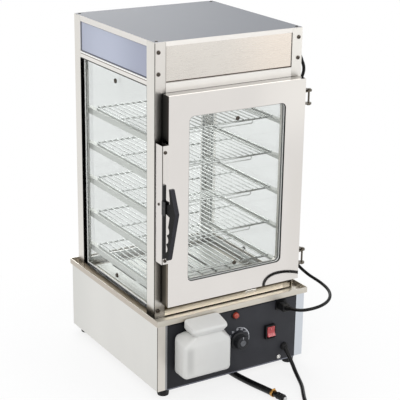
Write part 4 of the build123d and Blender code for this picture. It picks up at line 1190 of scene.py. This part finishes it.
# Window seal
def window_ring(name, finish, section, *stands_for):
    """A ring round the door's window, from (margin, depth) points."""
    left, right, bottom, top = WINDOW
    loops = []
    for m, depth in section:
        outline = rounded(left - m, right + m, bottom - m, top + m, WINDOW_CORNER + m, 8)
        loops.append([(u, DOOR_FRONT + depth, v) for u, v in outline])
    form = Form().skin(loops, closed=True)
    form.finish(name, finish, "black_rubber", *stands_for, body="door")


def window_seal():
    """The window's rubber: a lip outside, a channel painted pale as a highlight, and a dark bead on the
    glass.
    """
    window_ring("window_lip", "lip", [(-0.1, 0.3), (-0.7, 0.2), (-1.3, 0.5), (-1.4, 3.2), (-0.1, 3.4)],
                "window_seal")
    # The channel is painted pale as a highlight
    window_ring("window_channel", "channel_painted_highlight",
                [(-0.1, 3.5), (-1, 3.5), (-0.9, 5.5), (-1, 7.1), (-0.1, 7.3)])
    window_ring("window_bead", "bead", [(-0.1, 7.4), (-1.6, 7.5), (-2.4, 8.3), (-2.4, 9.4), (-0.1, 9.4)])


# Carried-over nodes by finish, with how much the edges of each are rounded
FINISHES = {
    "base_steel": {"base_housing": 0.8},
    "steel": {"base_bottom_plate": 0.4, "ceiling_panel": 0, "door_inner_panel": 0.3},
    "panel": {"control_panel": 0.6}, "tray_steel": {"drip_tray": 0.4, "water_pan": 0.3},
    "rubber": {"rubber_feet": 1.0, "door_gasket": 0.8}, "heater": {"heating_element": 0},
    "plate_steel": {"steam_plate": 0.2}, "post_steel": {"corner_post_front_left": 0.5},
    "right_post_steel": {"corner_post_front_right": 0.5}, "rear_post_steel": {"rear_corner_posts": 0.5},
    "rail_steel": {"frame_rails": 0.4}, "header_steel": {"steel_header_panels": 0.2},
    "acrylic": {"light_box_panels": 0.3}, "top_steel": {"top_panel": 0.5}, "tube": {"lamp_tube": 1.0},
    "white": {"lamp_holders": 0.8}, "side_glass": {"glass_panes": 0}, "gasket": {"glass_gaskets": 0.3},
    "shelf_steel": {"shelf_rails": 0},
    "black": {"thermostat_body": 0, "switch_housing": 0.4, "lamp_socket": 0.5, "latch_base": 0.5},
    "door_steel": {"door_outer_skin": 0.6}, "door_glass": {"door_glass": 0},
    "latch_steel": {"latch_plate": 0.4}, "dark_steel": {"handle_pin": 0.3},
    "handle": {"handle_grip": 1.6},
    "hinge_steel": {"hinge_brackets": 0.4, "hinge_leaves": 0.4, "hinge_pins": 0.5},
}


def finish_nodes():
    """Gives every carried-over node its material and soft edges."""
    for finish, nodes in FINISHES.items():
        for name, rounding in nodes.items():
            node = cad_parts[name]
            node.data.materials.clear()
            node.data.materials.append(MATERIALS[finish])
            if rounding:
                soften(node, rounding)


for rack_index in range(RACK_COUNT):
    wire_rack(rack_index)
for make in (slotted_strips, filler_bottle, filler_cap, knob_grip, knob_cap, knob_mark, dial_print, rocker,
             rocker_marks, switch_collar, pilot_collar, pilot_lens, lead_outlet, cord_gland, earth_screw,
             frame_screws, latch_screws, pane_studs, window_seal, finish_nodes):
    make()


# Studio
def paper():
    """Pale paper that fades to white away from the case."""
    sheet = Surface("floor", (0.84, 0.84, 0.84, 1), 0.9)
    seen, mirrored, through = sheet.rays("Camera", "Glossy", "Transmission")
    x, y, _ = sheet.split(sheet.node("TexCoord").outputs["Object"])
    square = x * x + y * y
    reach = square.worked("SQRT", square)
    share = (seen + mirrored + through) * reach.step(0.22, 0.62, 0.78, 1.0)
    glow = sheet.node("Emission")
    sheet.show(sheet.node("MixShader", (share, sheet.shader.outputs[0], glow.outputs[0])))


def ground():
    """The floor, half a millimetre below the feet."""
    reach, height = 9, -0.0005
    corners = [(x * reach, y * reach, height) for x, y in ((-1, -1), (1, -1), (1, 1), (-1, 1))]
    data = bpy.data.meshes.new("floor")
    data.from_pydata(corners, [], [(0, 1, 2, 3)])
    paper()
    data.materials.append(MATERIALS["floor"])
    in_scene("floor", data)


def room():
    """The room's light: white to the camera and in mirrors, and soft greys elsewhere."""
    world = bpy.data.worlds.new("room")
    bpy.context.scene.world = world
    world.use_nodes = True
    nodes = Nodes(world.node_tree)
    seen, mirrored, through = nodes.rays("Camera", "Glossy", "Transmission")
    looking = seen.worked("MAXIMUM", seen, mirrored)
    looking = looking.worked("MAXIMUM", looking, through)
    greys = ((0.0, 0.74), (0.12, 0.56), (0.38, 0.52), (0.6, 0.72), (1.0, 0.86))
    stops = [(where, (grey * 0.985, grey * 0.995, grey * 1.02, 1)) for where, grey in greys]
    height = nodes.split(nodes.node("TexCoord").outputs["Generated"])[2]
    ramp = nodes.node("ValToRGB", (height,), stops)
    color = nodes.mix(looking, ramp.outputs[0], (1, 1, 1, 1))
    nodes.feed(nodes.tree.nodes["Background"].inputs["Color"], color)


def soft_light(name, place, target, size, watts, color=(1, 1, 1)):
    """A large soft box."""
    data = bpy.data.lights.new(name, "AREA")
    data.shape = "RECTANGLE"
    data.size, data.size_y = size
    data.energy = watts
    data.color = color
    lamp = in_scene(name, data)
    place = Vector(place)
    turn = (place - Vector(target)).to_track_quat("Z", "Y").to_matrix().to_4x4()
    lamp.matrix_world = Matrix.Translation(place) @ turn


ground()
room()
soft_light("key", (-1.6, -1.8, 2.0), (0, 0, 0.35), (1.4, 1.4), 24, (1.0, 0.985, 0.96))
soft_light("front", (1.5, -2.2, 1.3), (0, 0, 0.3), (1.6, 1.6), 14)
soft_light("behind", (0.2, 1.8, 1.6), (0, 0, 0.4), (1.8, 1.2), 18)

bpy.context.scene.view_settings.view_transform = "Standard"
